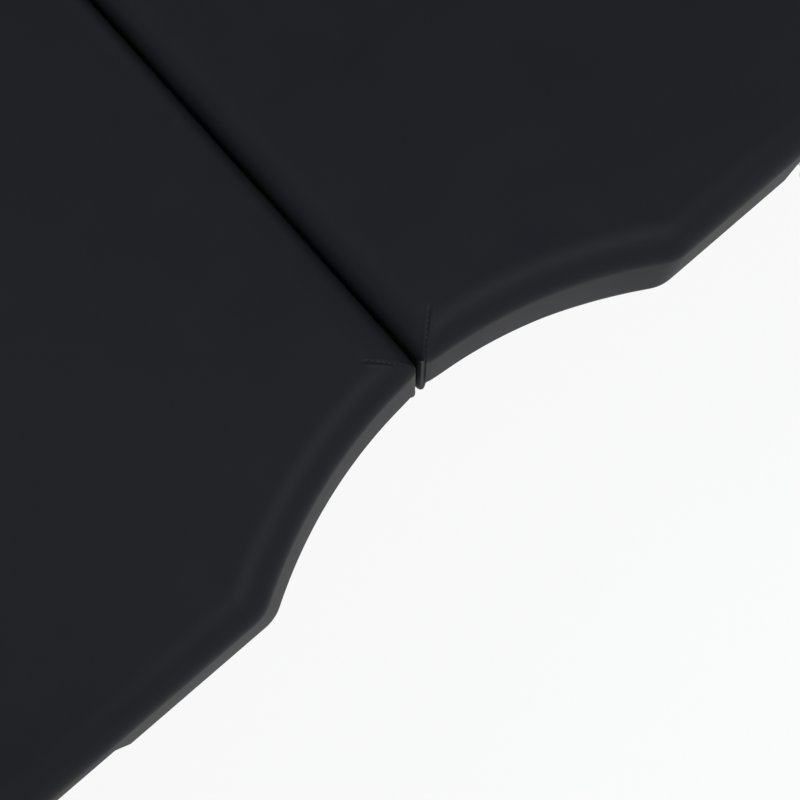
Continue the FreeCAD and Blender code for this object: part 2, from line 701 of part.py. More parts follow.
def link(start, end, y0, y1):
    """A flat steel link with round ends, bored at its first end."""
    half = STAY_WIDTH / 2
    way = (end - start).normalize()
    side = way.cross(Y_AXIS) * half
    points = [start + side, end + side, end - side, start - side, start + side]
    plate = Part.Face(Part.makePolygon(points)).extrude(Vector(0, y1 - y0, 0))
    plate.translate(Vector(0, y0, 0))
    ends = [rod_y(half, point.x, point.z, y0, y1) for point in (start, end)]
    return fuse(plate, *ends).cut(rod_y(RIVET_RADIUS + RUNNING, start.x, start.z, y0, y1))


def upper_stay():
    """The short link on the far rail, with its half of the knee rivet."""
    bar = link(STAY_ANCHOR, STAY_KNEE, UPPER_STAY_INNER_Y, UPPER_STAY_OUTER_Y)
    x = STAY_KNEE.x
    z = STAY_KNEE.z
    collar = rod_y(RIVET_HEAD_RADIUS, x, z, LOWER_STAY_OUTER_Y + HEAD_GAP, UPPER_STAY_INNER_Y)
    head = rod_y(RIVET_HEAD_RADIUS, x, z, UPPER_STAY_OUTER_Y, UPPER_STAY_OUTER_Y + KNEE_HEAD_HEIGHT)
    return fuse(bar, collar, head)


def lower_stay():
    """The long link on the far leg, with its half of the knee rivet."""
    bar = link(STAY_LEG_END, STAY_KNEE, LOWER_STAY_INNER_Y, LOWER_STAY_OUTER_Y)
    head = rod_y(
        RIVET_HEAD_RADIUS,
        STAY_KNEE.x,
        STAY_KNEE.z,
        LOWER_STAY_INNER_Y - RIVET_HEAD_HEIGHT,
        LOWER_STAY_INNER_Y,
    )
    return fuse(bar, head)


def handle_ends():
    """The inner ends of the two ears, where the handle's pins start."""
    return (HANDLE_X - HANDLE_SPAN / 2, HANDLE_X + HANDLE_SPAN / 2)


def leaf_plate(tip_x, root_x):
    """A leaf-shaped bracket plate on the near rail, pointed at its outer end."""
    z = RAIL_BOTTOM + HANDLE_RISE
    y = -RAIL_OUTER_Y
    half = LEAF_HEIGHT / 2
    middle_x = (tip_x + root_x) / 2
    tip = Vector(tip_x, y, z)
    high = Vector(root_x, y, z + half * LEAF_ROOT_SHARE)
    low = Vector(root_x, y, z - half * LEAF_ROOT_SHARE)
    edges = [
        Part.Arc(tip, Vector(middle_x, y, z + half), high).toShape(),
        Part.LineSegment(high, low).toShape(),
        Part.Arc(low, Vector(middle_x, y, z - half), tip).toShape(),
    ]
    plate = Part.Face(Part.Wire(edges)).extrude(Vector(0, -LEAF_THICKNESS, 0))
    at_tip = lambda edge: runs_along(edge, Y_AXIS) and abs(edge.Vertexes[0].X - tip_x) < 1e-6
    return fillet_where(plate, LEAF_TIP_ROUND, at_tip)


def handle_bracket(way):
    """One bracket: its leaf plate, and the ear that takes the handle's pin."""
    inner = HANDLE_X + way * HANDLE_SPAN / 2
    outer = inner + way * EAR_LENGTH
    z = RAIL_BOTTOM + HANDLE_RISE
    y = -(RAIL_OUTER_Y + HANDLE_OFFSET)
    x0, x1 = sorted((inner, outer))
    ear = rod_x(EAR_RADIUS, y, z, x0, x1)
    web = box(x0, x1, y, -RAIL_OUTER_Y, z - EAR_RADIUS, z + EAR_RADIUS)
    bore = rod_x(HANDLE_PIN_RADIUS + RUNNING, y, z, x0, x1)
    plate = leaf_plate(inner + way * LEAF_LENGTH, inner)
    return fuse(plate, ear, web).cut(bore)


def handle():
    """The hanging carrying handle: a bent rod with a barrel grip and a pin at each end."""
    y = -(RAIL_OUTER_Y + HANDLE_OFFSET)
    top = RAIL_BOTTOM + HANDLE_RISE
    bottom = top - HANDLE_DEPTH
    inset = HANDLE_ROD_RADIUS + HEAD_GAP
    left, right = handle_ends()
    x0 = left + inset
    x1 = right - inset
    bend = HANDLE_BEND
    slack = bend * (1 - math.sqrt(0.5))
    path = Part.Wire(
        [
            Part.LineSegment(Vector(x0, y, top), Vector(x0, y, bottom + bend)).toShape(),
            Part.Arc(
                Vector(x0, y, bottom + bend),
                Vector(x0 + slack, y, bottom + slack),
                Vector(x0 + bend, y, bottom),
            ).toShape(),
            Part.LineSegment(Vector(x0 + bend, y, bottom), Vector(x1 - bend, y, bottom)).toShape(),
            Part.Arc(
                Vector(x1 - bend, y, bottom),
                Vector(x1 - slack, y, bottom + slack),
                Vector(x1, y, bottom + bend),
            ).toShape(),
            Part.LineSegment(Vector(x1, y, bottom + bend), Vector(x1, y, top)).toShape(),
        ]
    )
    section = Part.Wire(Part.makeCircle(HANDLE_ROD_RADIUS, Vector(x0, y, top), Z_AXIS))
    rod = path.makePipeShell([section], True, False)
    knuckles = [Part.makeSphere(HANDLE_ROD_RADIUS, Vector(x, y, top)) for x in (x0, x1)]
    pin_reach = EAR_LENGTH - HANDLE_PIN_SHORT
    left_pin = rod_x(HANDLE_PIN_RADIUS, y, top, left - pin_reach, x0)
    right_pin = rod_x(HANDLE_PIN_RADIUS, y, top, x1, right + pin_reach)
    return fuse(rod, *knuckles, left_pin, right_pin, handle_grip(y, bottom))


def handle_grip(y, z):
    """A barrel-shaped grip round the handle's lower run."""
    half = HANDLE_GRIP_LENGTH / 2
    end_radius = HANDLE_GRIP_RADIUS - HANDLE_GRIP_CROWN
    low = Vector(HANDLE_X - half, y, z)
    high = Vector(HANDLE_X + half, y, z)
    low_rim = low + Z_AXIS * end_radius
    high_rim = high + Z_AXIS * end_radius
    crown = Vector(HANDLE_X, y, z + HANDLE_GRIP_RADIUS)
    edges = [
        Part.LineSegment(low, low_rim).toShape(),
        Part.Arc(low_rim, crown, high_rim).toShape(),
        Part.LineSegment(high_rim, high).toShape(),
        Part.LineSegment(high, low).toShape(),
    ]
    return Part.Face(Part.Wire(edges)).revolve(low, X_AXIS, 360)


def hook():
    """A flat hook that hangs from the left half's far rail, with its mouth towards the outer end."""
    x = -HOOK_PIVOT_X
    z = HOOK_PIVOT_Z
    mouth_z = z - HOOK_LENGTH
    half = HOOK_WIDTH / 2
    shank = box(x - half, x + half, HOOK_INNER_Y, HOOK_OUTER_Y, mouth_z, z)
    eye = rod_y(half, x, z, HOOK_INNER_Y, HOOK_OUTER_Y)
    head = rod_y(HOOK_HEAD_RADIUS, x, mouth_z, HOOK_INNER_Y, HOOK_OUTER_Y)
    clear = CATCH_RADIUS + SLIDING
    mouth = fuse(
        rod_y(clear, x, mouth_z, HOOK_INNER_Y, HOOK_OUTER_Y),
        box(x - 2 * HOOK_HEAD_RADIUS, x, HOOK_INNER_Y, HOOK_OUTER_Y, mouth_z - clear, mouth_z + clear),
    )
    bore = rod_y(RIVET_RADIUS + RUNNING, x, z, HOOK_INNER_Y, HOOK_OUTER_Y)
    return fuse(shank, eye, head).cut(mouth).cut(bore)


def hook_screw():
    """The shouldered screw that the far hook swings on."""
    x = -HOOK_PIVOT_X
    z = HOOK_PIVOT_Z
    head_y = HOOK_OUTER_Y + HEAD_GAP
    return fuse(
        rod_y(RIVET_RADIUS, x, z, RAIL_OUTER_Y - RIVET_ROOT, head_y),
        rod_y(HOOK_WIDTH / 2, x, z, RAIL_OUTER_Y, HOOK_INNER_Y - HEAD_GAP),
        rod_y(HOOK_WIDTH / 2, x, z, head_y, head_y + CATCH_HEAD_HEIGHT),
    )


def catch():
    """The headed stud on the right half's far rail that a hook closes on."""
    head_y = HOOK_OUTER_Y + HEAD_GAP
    return fuse(
        rod_y(RIVET_RADIUS, CATCH_X, CATCH_Z, RAIL_OUTER_Y - RIVET_ROOT, RAIL_OUTER_Y),
        rod_y(CATCH_RADIUS, CATCH_X, CATCH_Z, RAIL_OUTER_Y, head_y),
        rod_y(CATCH_HEAD_RADIUS, CATCH_X, CATCH_Z, head_y, head_y + CATCH_HEAD_HEIGHT),
    )


def socket_places():
    """Where the two headrest sockets sit across the end rail."""
    return (-SOCKET_SPACING / 2, SOCKET_SPACING / 2)


def socket_level():
    """The height of the headrest sockets, half way up the rail."""
    return RAIL_BOTTOM + RAIL_HEIGHT / 2


def headrest_sockets():
    """Flanged sockets through the left half's end rail for a headrest's two posts."""
    inner = -(FRAME_END_X - RAIL_THICKNESS)
    face = -FRAME_END_X
    z = socket_level()
    sockets = []
    for y in socket_places():
        sleeve = rod_x(SOCKET_BORE_RADIUS + SOCKET_WALL, y, z, face, inner)
        flange = rod_x(SOCKET_FLANGE_RADIUS, y, z, face - SOCKET_FLANGE, face)
        bore = rod_x(SOCKET_BORE_RADIUS, y, z, face - SOCKET_FLANGE, inner)
        sockets.append(fuse(sleeve, flange).cut(bore))
    return group(*sockets)


def left_end_rail():
    """The left half's end rail, drilled for the headrest sockets."""
    rail = across_x(end_rail())
    radius = SOCKET_BORE_RADIUS + SOCKET_WALL
    inner_x = -FRAME_END_X + RAIL_THICKNESS
    for y in socket_places():
        rail = rail.cut(rod_x(radius, y, socket_level(), -FRAME_END_X, inner_x))
    return rail


def half_parts():
    """The pieces that both halves share, as they sit on the right half."""
    rail = side_rail()
    far_leg = upper_leg()
    far_fasteners = leg_fasteners()
    return {
        "cover": cover(),
        "foam": foam(),
        "deck": deck(),
        "far_rail": rail,
        "near_rail": across_y(rail),
        "fold_rail": fold_rail(),
        "waist_rails": group(waist_rail(), across_y(waist_rail())),
        "skirts": group(skirt(), across_y(skirt())),
        "battens": battens(),
        "corner_blocks": corner_blocks(),
        "pivot_hardware": pivot_hardware(),
        "far_upper_leg": far_leg,
        "near_upper_leg": across_y(far_leg),
        "crossbar": crossbar(),
        "leg_fasteners": group(*far_fasteners, *[across_y(shape) for shape in far_fasteners]),
        "upper_stays": group(upper_stay(), across_y(upper_stay())),
        "lower_stays": group(lower_stay(), across_y(lower_stay())),
        "far_lower_leg": lower_leg(),
        "near_lower_leg": across_y(lower_leg()),
        "far_foot": foot(),
        "near_foot": across_y(foot()),
        "far_knob": knob(),
        "near_knob": across_y(knob()),
    }


def latch_root(x, z):
    """The blind hole for a latch screw in the far rail's outer face."""
    return root_hole(Vector(x, 0, z), RAIL_OUTER_Y, -1)


def all_parts():
    """Every node of the table by name."""
    parts = {}
    for name, shape in half_parts().items():
        parts["right_" + name] = shape
        parts["left_" + name] = across_x(shape)
    catch_hole = latch_root(CATCH_X, CATCH_Z)
    hook_hole = latch_root(-HOOK_PIVOT_X, HOOK_PIVOT_Z)
    for side, hole in (("right", catch_hole), ("left", hook_hole)):
        parts[side + "_far_rail"] = parts[side + "_far_rail"].cut(hole)
        parts[side + "_near_rail"] = parts[side + "_near_rail"].cut(across_y(hole))
    parts["right_end_rail"] = end_rail()
    parts["left_end_rail"] = left_end_rail()
    parts["right_hinge_leaves"] = hinge_leaves(1)
    parts["left_hinge_leaves"] = across_x(hinge_leaves(0))
    parts["hinge_pins"] = hinge_pins()
    parts["headrest_sockets"] = headrest_sockets()
    parts["handle_brackets"] = group(handle_bracket(-1), handle_bracket(1))
    parts["handle"] = handle()
    parts["far_hook"] = hook()
    parts["near_hook"] = across_y(hook())
    parts["hook_screws"] = group(hook_screw(), across_y(hook_screw()))
    parts["catches"] = group(catch(), across_y(catch()))
    return parts


def main():
    """Writes one file for each node."""
    os.makedirs("parts", exist_ok=True)
    for name, shape in sorted(all_parts().items()):
        shape.exportStep(os.path.join("parts", name + ".step"))
        print(name, len(shape.Solids), round(shape.Volume / 1000, 2), shape.isValid())


main()
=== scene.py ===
# Dresses the folding massage table: padded tops, finishes, small fasteners, floor, light and camera.
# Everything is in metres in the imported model's frame. The origin is on the floor under the middle, +X runs
# along the right half, -Y is the near side and +Z is up.

import json
import logging
import math
from dataclasses import dataclass, field, replace
from enum import Enum

import bmesh
import bpy
import numpy as np
from mathutils import Matrix, Vector

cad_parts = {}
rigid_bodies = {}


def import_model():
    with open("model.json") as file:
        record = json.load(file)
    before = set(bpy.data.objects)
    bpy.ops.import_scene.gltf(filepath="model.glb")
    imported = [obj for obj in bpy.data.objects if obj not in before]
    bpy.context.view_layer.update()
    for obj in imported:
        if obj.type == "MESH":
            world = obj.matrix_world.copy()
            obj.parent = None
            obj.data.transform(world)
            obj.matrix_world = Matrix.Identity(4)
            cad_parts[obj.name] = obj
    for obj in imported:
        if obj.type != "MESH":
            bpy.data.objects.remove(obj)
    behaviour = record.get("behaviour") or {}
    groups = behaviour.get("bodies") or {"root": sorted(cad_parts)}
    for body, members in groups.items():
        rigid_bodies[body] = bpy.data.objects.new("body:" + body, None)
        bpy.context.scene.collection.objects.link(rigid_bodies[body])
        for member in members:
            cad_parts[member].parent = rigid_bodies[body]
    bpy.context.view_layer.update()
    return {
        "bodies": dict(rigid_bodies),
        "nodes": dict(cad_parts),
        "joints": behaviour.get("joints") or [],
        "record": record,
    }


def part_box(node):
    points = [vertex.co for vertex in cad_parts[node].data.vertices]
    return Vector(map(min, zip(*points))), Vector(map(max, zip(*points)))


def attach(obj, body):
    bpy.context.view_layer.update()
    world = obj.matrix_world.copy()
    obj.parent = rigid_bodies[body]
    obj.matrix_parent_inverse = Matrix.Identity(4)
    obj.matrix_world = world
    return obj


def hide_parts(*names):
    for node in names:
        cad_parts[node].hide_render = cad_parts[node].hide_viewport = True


LOG = logging.getLogger("massage_table")
MM = 0.001
WELD = 0.004 * MM
CLOTH_FRAMES = (1, 14)
TINY = 1e-12


class Side(Enum):
    """The two halves of the table, by the sign of their x."""

    LEFT = -1
    RIGHT = 1

    @property
    def word(self) -> str:
        """The half's name as the model's nodes spell it."""
        return self.name.lower()


class Grain(Enum):
    """The way a piece of wood's grain runs."""

    ALONG = 0
    ACROSS = 1
    UPRIGHT = 2


# Surfaces as whole arrays


def smooth_step(values: np.ndarray) -> np.ndarray:
    """Eases from 0 to 1 as values go from 0 to 1, flat at both ends.

    Args:
        values: Any numbers; those outside 0 to 1 are clipped.

    Returns:
        Three times the square less twice the cube of each clipped value.
    """
    share = np.clip(values, 0, 1)
    return share * share * (3 - 2 * share)


def bell(values: np.ndarray) -> np.ndarray:
    """A bump that is 1 at zero and falls away as the exponential of minus the square."""
    return np.exp(-values * values)


def grid_faces(rows: int, columns: int, wrap: bool) -> np.ndarray:
    """Quads between neighbouring rows and columns of a grid of points.

    Args:
        rows: Number of rows.
        columns: Points in a row.
        wrap: True where the last column joins the first.

    Returns:
        One row of four point numbers for each quad.
    """
    last = columns if wrap else columns - 1
    row, column = np.meshgrid(np.arange(rows - 1), np.arange(last), indexing="ij")
    low = row * columns + column
    beside = row * columns + (column + 1) % columns
    return np.stack([low, beside, beside + columns, low + columns], -1).reshape(-1, 4)


def mesh_object(name: str, points: np.ndarray, faces: np.ndarray) -> bpy.types.Object:
    """Makes an object from a grid, welds what coincides and turns its faces outwards.

    Args:
        name: The object's name.
        points: Points in metres, one row each.
        faces: Point numbers of each face.

    Returns:
        The new object, at the origin, shaded smooth.
    """
    mesh = bpy.data.meshes.new(name)
    mesh.from_pydata(points.reshape(-1, 3).tolist(), [], faces.tolist())
    build = bmesh.new()
    build.from_mesh(mesh)
    bmesh.ops.remove_doubles(build, verts=build.verts, dist=WELD)
    bmesh.ops.dissolve_degenerate(build, edges=build.edges, dist=WELD / 10)
    bmesh.ops.recalc_face_normals(build, faces=build.faces)
    build.to_mesh(mesh)
    build.free()
    mesh.polygons.foreach_set("use_smooth", np.ones(len(mesh.polygons), bool))
    made = bpy.data.objects.new(name, mesh)
    bpy.context.scene.collection.objects.link(made)
    return made


@dataclass(frozen=True)
class Copies:
    """Places one small solid of revolution many times in a single mesh."""

    profile: np.ndarray
    around: int

    def points(self, origins: np.ndarray, axes: np.ndarray) -> tuple[np.ndarray, np.ndarray]:
        """Spins the profile round each axis.

        A point is the origin, plus the profile's height along the axis, plus the profile's radius times the
        cosine and sine of its turn along two directions square to the axis.

        Args:
            origins: Where each copy sits, one row each.
            axes: Which way each copy points, one row each.

        Returns:
            The points and the quads of all copies together.
        """
        axes = axes / np.linalg.norm(axes, axis=1, keepdims=True)
        spare = np.where(np.abs(axes[:, :1]) < 0.8, [[1.0, 0, 0]], [[0, 1.0, 0]])
        first = np.cross(axes, spare)
        first /= np.linalg.norm(first, axis=1, keepdims=True)
        second = np.cross(axes, first)
        turn = np.linspace(0, 2 * math.pi, self.around, endpoint=False)
        radius, height = self.profile[:, 0], self.profile[:, 1]
        ring = (
            np.cos(turn)[None, :, None] * first[:, None, :] + np.sin(turn)[None, :, None] * second[:, None, :]
        )
        points = (
            origins[:, None, None, :]
            + axes[:, None, None, :] * height[None, :, None, None]
            + ring[:, None, :, :] * radius[None, :, None, None]
        )
        faces = grid_faces(len(self.profile), self.around, True)
        per_copy = len(self.profile) * self.around
        shift = np.arange(len(origins))[:, None, None] * per_copy
        return points.reshape(-1, 3), (faces[None] + shift).reshape(-1, 4)


# Shader maths


class Socket:
    """A shader output that takes part in Python expressions on numbers."""

    def __init__(self, graph: "Graph", output: bpy.types.NodeSocket) -> None:
        """Keeps the graph that the output belongs to."""
        self.graph = graph
        self.output = output

    def _math(self, operation: str, first: object, second: object) -> "Socket":
        """Adds one Math node for two numbers or sockets."""
        return self.graph.add("ShaderNodeMath", {"operation": operation}, {0: first, 1: second})

    def __add__(self, other: object) -> "Socket":
        """This plus the other."""
        return self._math("ADD", self, other)

    __radd__ = __add__

    def __sub__(self, other: object) -> "Socket":
        """This less the other."""
        return self._math("SUBTRACT", self, other)

    def __rsub__(self, other: object) -> "Socket":
        """The other less this."""
        return self._math("SUBTRACT", other, self)

    def __mul__(self, other: object) -> "Socket":
        """This times the other."""
        return self._math("MULTIPLY", self, other)

    __rmul__ = __mul__

    def __truediv__(self, other: object) -> "Socket":
        """This over the other."""
        return self._math("DIVIDE", self, other)

    def __pow__(self, other: object) -> "Socket":
        """This to the power of the other."""
        return self._math("POWER", self, other)

    def __abs__(self) -> "Socket":
        """This without its sign."""
        return self._math("ABSOLUTE", self, 0.0)

    def below(self, limit: float) -> "Socket":
        """1 where this is under a limit, else 0."""
        return self._math("LESS_THAN", self, limit)

    def capped(self, limit: float) -> "Socket":
        """The lesser of this and a limit."""
        return self._math("MINIMUM", self, limit)

    def fraction(self) -> "Socket":
        """What this has past its whole number."""
        return self._math("FRACT", self, 0.0)

    def sibling(self, name: str) -> "Socket":
        """Another output of the same node."""
        return Socket(self.graph, self.output.node.outputs[name])


class Graph:
    """A material's node tree, built one node at a time."""

    def __init__(self, name: str) -> None:
        """Starts a material with one Principled shader."""
        self.material = bpy.data.materials.new(name)
        self.material.use_nodes = True
        self.nodes = self.material.node_tree.nodes
        self.links = self.material.node_tree.links
        self.nodes.clear()
        self.shader = self.nodes.new("ShaderNodeBsdfPrincipled")
        self.end = self.nodes.new("ShaderNodeOutputMaterial")
        self.links.new(self.shader.outputs[0], self.end.inputs["Surface"])

    def add(self, kind: str, settings: dict, inputs: dict, output: object = 0) -> Socket:
        """Adds a node, sets its settings first and then its sockets.

        Args:
            kind: The node's type.
            settings: Properties by name; "stops" gives a colour ramp's places and colours.
            inputs: Values, colours or sockets by input name or number.
            output: Which output to hand back.

        Returns:
            The chosen output.
        """
        node = self.nodes.new(kind)
        for name, value in settings.items():
            if name == "stops":
                self._set_stops(node.color_ramp, value)
            else:
                setattr(node, name, value)
        for name, value in inputs.items():
            self.feed(node.inputs[name], value)
        return Socket(self, node.outputs[output])

    def _set_stops(self, ramp: bpy.types.ColorRamp, stops: list) -> None:
        """Gives a ramp its stops as pairs of place and colour."""
        while len(ramp.elements) < len(stops):
            ramp.elements.new(0.5)
        for element, (place, colour) in zip(ramp.elements, stops):
            element.position = place
            element.color = (*colour, 1.0)

    def feed(self, target: bpy.types.NodeSocket, value: object) -> None:
        """Links a socket into an input, or sets the input's own value."""
        if isinstance(value, Socket):
            self.links.new(value.output, target)
        elif isinstance(value, tuple) and target.type == "RGBA":
            target.default_value = (*value, 1.0)
        else:
            target.default_value = value

    def surface(self, **inputs: object) -> bpy.types.Material:
        """Feeds the Principled shader by input name, with underscores for spaces.

        Args:
            **inputs: Values or sockets.

        Returns:
            The finished material.
        """
        for name, value in inputs.items():
            self.feed(self.shader.inputs[name.replace("_", " ")], value)
        return self.material

    def place(self, scale: tuple[float, float, float] = (1, 1, 1), shift: tuple = (0, 0, 0)) -> Socket:
        """Object coordinates in metres, shifted and then scaled along each axis."""
        where = self.add("ShaderNodeTexCoord", {}, {}, "Object")
        return self.add("ShaderNodeMapping", {}, {"Vector": where, "Location": shift, "Scale": scale})

    def noise(self, at: Socket, scale: float, detail: float = 3.0, rough: float = 0.55) -> Socket:
        """Cloudy noise from 0 to 1."""
        inputs = {"Vector": at, "Scale": scale, "Detail": detail, "Roughness": rough}
        return self.add("ShaderNodeTexNoise", {}, inputs)

    def cells(self, at: Socket, scale: float, feature: str = "SMOOTH_F1") -> Socket:
        """Distance from the middle of the nearest cell."""
        inputs = {"Vector": at, "Scale": scale}
        return self.add("ShaderNodeTexVoronoi", {"feature": feature}, inputs, "Distance")

    def ramp(self, value: Socket, *stops: tuple) -> Socket:
        """A colour for each value, through a list of stops."""
        return self.add("ShaderNodeValToRGB", {"stops": list(stops)}, {"Fac": value})

    def mixed(self, share: object, first: object, second: object) -> Socket:
        """A colour part way between two."""
        settings = {"data_type": "RGBA"}
        return self.add("ShaderNodeMix", settings, {0: share, 6: first, 7: second}, 2)

    def eased_edges(self, radius: float) -> Socket:
        """The surface's normal with its sharp edges rounded over a radius."""
        return self.add("ShaderNodeBevel", {"samples": 4}, {"Radius": radius})

    def bump(self, height: Socket, distance: float, under: object = None) -> Socket:
        """A normal tilted by a height in units of a distance."""
        inputs = {"Height": height, "Distance": distance, "Strength": 1.0}
        if under is not None:
            inputs["Normal"] = under
        return self.add("ShaderNodeBump", {}, inputs)


# Finishes


@dataclass(frozen=True)
class Leatherette:
    """Black satin upholstery sheet with a fine pressed grain."""

    colour: tuple[float, float, float] = (0.0108, 0.0112, 0.0138)
    worn: tuple[float, float, float] = (0.0138, 0.0142, 0.0165)
    roughness: float = 0.5
    gloss: float = 0.08
    mottle_per_metre: float = 14.0
    grain_per_metre: float = 850.0
    creases_per_metre: float = 420.0
    ripples_per_metre: float = 9.0
    mottle_satin: float = 0.08
    grain_satin: float = 0.06
    grain_depth: float = 0.03 * MM
    ripple_depth: float = 0.5 * MM

    def material(self, name: str = "leatherette") -> bpy.types.Material:
        """Cells make the grain, noise the mottling and a slow ripple the hand-stretched look."""
        graph = Graph(name)
        at = graph.place()
        mottle = graph.noise(at, self.mottle_per_metre, 4)
        grain = graph.cells(at, self.grain_per_metre)
        creases = graph.noise(at, self.creases_per_metre, 2)
        ripple = graph.noise(at, self.ripples_per_metre, 2, 0.4)
        colour = graph.mixed(mottle, self.colour, self.worn)
        satin = self.roughness + (mottle - 0.5) * self.mottle_satin + grain * self.grain_satin
        slow = graph.bump(ripple, self.ripple_depth)
        fine = graph.bump(grain + creases * 0.5, self.grain_depth, slow)
        return graph.surface(
            Base_Color=colour, Roughness=satin, Normal=fine, Specular_IOR_Level=self.gloss
        )


@dataclass(frozen=True)
class Beech:
    """Lacquered beech with fine flecks along the grain."""

    pale: tuple[float, float, float] = (0.62, 0.40, 0.225)
    warm: tuple[float, float, float] = (0.47, 0.275, 0.135)
    fleck: tuple[float, float, float] = (0.30, 0.155, 0.07)
    roughness: float = 0.36
    fibre_satin: float = 0.12
    coat: float = 0.15
    edge_round: float = 1.6 * MM
    stretch: float = 0.045
    planks_per_metre: float = 3.5
    bands_per_metre: float = 55.0
    flecks_per_metre: float = 420.0
    fibres_per_metre: float = 900.0
    fleck_size: float = 0.12
    pore_depth: float = 0.05 * MM

    def scale(self, grain: Grain) -> tuple[float, float, float]:
        """Scale along each axis, small along the grain."""
        return tuple(self.stretch if axis == grain.value else 1.0 for axis in range(3))

    def material(self, grain: Grain) -> bpy.types.Material:
        """Stretched noise makes growth bands, and stretched cells the short dark flecks."""
        graph = Graph("beech_" + grain.name.lower())
        at = graph.place(self.scale(grain))
        bands = graph.noise(at, self.bands_per_metre, 4, 0.6)
        fibre = graph.noise(at, self.fibres_per_metre, 3, 0.6)
        flecks = graph.cells(at, self.flecks_per_metre, "F1")
        plank = graph.noise(graph.place(), self.planks_per_metre, 1)
        tone = graph.mixed(bands * 0.75 + fibre * 0.25 + (plank - 0.5) * 0.5, self.pale, self.warm)
        colour = graph.mixed(flecks.below(self.fleck_size) * 0.5, tone, self.fleck)
        lacquer = self.roughness + fibre * self.fibre_satin
        normal = graph.bump(fibre + flecks * 0.4, self.pore_depth, graph.eased_edges(self.edge_round))
        return graph.surface(Base_Color=colour, Roughness=lacquer, Normal=normal, Coat_Weight=self.coat)


@dataclass(frozen=True)
class LaminatedBeech:
    """Thin curved layers of beech, seen as lines that follow the bend.

    The centre is that of the rails' bend for positive x and y, which stands for all four quarters.
    """

    centre: tuple[float, float] = (-64.6 * MM, 832 * MM)
    layer: float = 2.5 * MM
    glue_share: float = 0.1
    stretch: float = 0.06
    fibres_per_metre: float = 700.0
    roughness: float = 0.4
    fibre_satin: float = 0.1
    beech: Beech = field(default_factory=Beech)

    def material(self) -> bpy.types.Material:
        """The distance from the bend's centre, counted in layers, picks each layer's tone."""
        graph = Graph("laminated_beech")
        place_x = graph.add("ShaderNodeSeparateXYZ", {}, {"Vector": graph.place()}, "X")
        along = abs(place_x) - self.centre[0]
        across = abs(place_x.sibling("Y")) - self.centre[1]
        reach = (along**2 + across**2) ** 0.5
        seam = (reach / self.layer).fraction().below(self.glue_share)
        fibre = graph.noise(graph.place((self.stretch, self.stretch, 1.0)), self.fibres_per_metre, 3)
        tone = graph.mixed(fibre, self.beech.pale, self.beech.warm)
        colour = graph.mixed(seam * 0.55, tone, self.beech.fleck)
        edges = graph.eased_edges(self.beech.edge_round)
        normal = graph.bump(fibre - seam * 0.5, self.beech.pore_depth, edges)
        lacquer = self.roughness + fibre * self.fibre_satin
        return graph.surface(Base_Color=colour, Roughness=lacquer, Normal=normal)


@dataclass(frozen=True)
class Plywood:
    """Pale birch plywood with its plies showing at the edge."""

    face: tuple[float, float, float] = (0.66, 0.49, 0.31)
    band: tuple[float, float, float] = (0.50, 0.33, 0.18)
    ply: float = 1.2 * MM
    figure_per_metre: float = 38.0
    fibres_per_metre: float = 800.0
    roughness: float = 0.62
    fibre_satin: float = 0.15
    pore_depth: float = 0.06 * MM

    def material(self) -> bpy.types.Material:
        """Height counted in plies makes the edge's bands, and long noise the face's figure."""
        graph = Graph("plywood")
        level = graph.add("ShaderNodeSeparateXYZ", {}, {"Vector": graph.place()}, "Z")
        band = (level / (2 * self.ply)).fraction().below(0.5)
        figure = graph.noise(graph.place((0.12, 1.0, 1.0)), self.figure_per_metre, 5, 0.6)
        fibre = graph.noise(graph.place((0.03, 1.0, 1.0)), self.fibres_per_metre, 2)
        tone = graph.mixed(figure * 0.6 + fibre * 0.4, self.face, self.band)
        colour = graph.mixed(band * 0.35, tone, self.band)
        rough = self.roughness + fibre * self.fibre_satin
        return graph.surface(Base_Color=colour, Roughness=rough, Normal=graph.bump(fibre, self.pore_depth))


@dataclass(frozen=True)
class Metal:
    """Plated steel with faint polishing lines and handling marks."""

    name: str
    colour: tuple[float, float, float]
    shadow: tuple[float, float, float]
    roughness: float
    edge_round: float = 0.5 * MM
    clouds_per_metre: float = 60.0
    lines_per_metre: float = 1600.0
    cloud_satin: float = 0.12
    line_satin: float = 0.08
    line_depth: float = 0.008 * MM

    def material(self) -> bpy.types.Material:
        """Fine noise varies the plating's tone and roughness."""
        graph = Graph(self.name)
        cloud = graph.noise(graph.place(), self.clouds_per_metre, 4)
        lines = graph.noise(graph.place((1.0, 0.05, 1.0)), self.lines_per_metre, 2)
        colour = graph.mixed(cloud, self.shadow, self.colour)
        rough = self.roughness + (cloud - 0.5) * self.cloud_satin + (lines - 0.5) * self.line_satin
        normal = graph.bump(lines, self.line_depth, graph.eased_edges(self.edge_round))
        return graph.surface(Base_Color=colour, Metallic=1.0, Roughness=rough, Normal=normal)


@dataclass(frozen=True)
class Moulded:
    """A dark moulded plastic or rubber with a fine spark-eroded texture."""

    name: str
    colour: tuple[float, float, float]
    dusty: tuple[float, float, float]
    roughness: float
    texture: float
    edge_round: float = 0.6 * MM
    pits_per_metre: float = 1300.0
    dust_per_metre: float = 45.0
    dust_satin: float = 0.12

    def material(self) -> bpy.types.Material:
        """Noise gives the mould texture, and a slower noise a little dust."""
        graph = Graph(self.name)
        at = graph.place()
        pits = graph.noise(at, self.pits_per_metre, 3, 0.7)
        dust = graph.noise(at, self.dust_per_metre, 4)
        colour = graph.mixed(dust, self.colour, self.dusty)
        rough = self.roughness + (dust - 0.5) * self.dust_satin
        normal = graph.bump(pits, self.texture, graph.eased_edges(self.edge_round))
        return graph.surface(Base_Color=colour, Roughness=rough, Normal=normal)


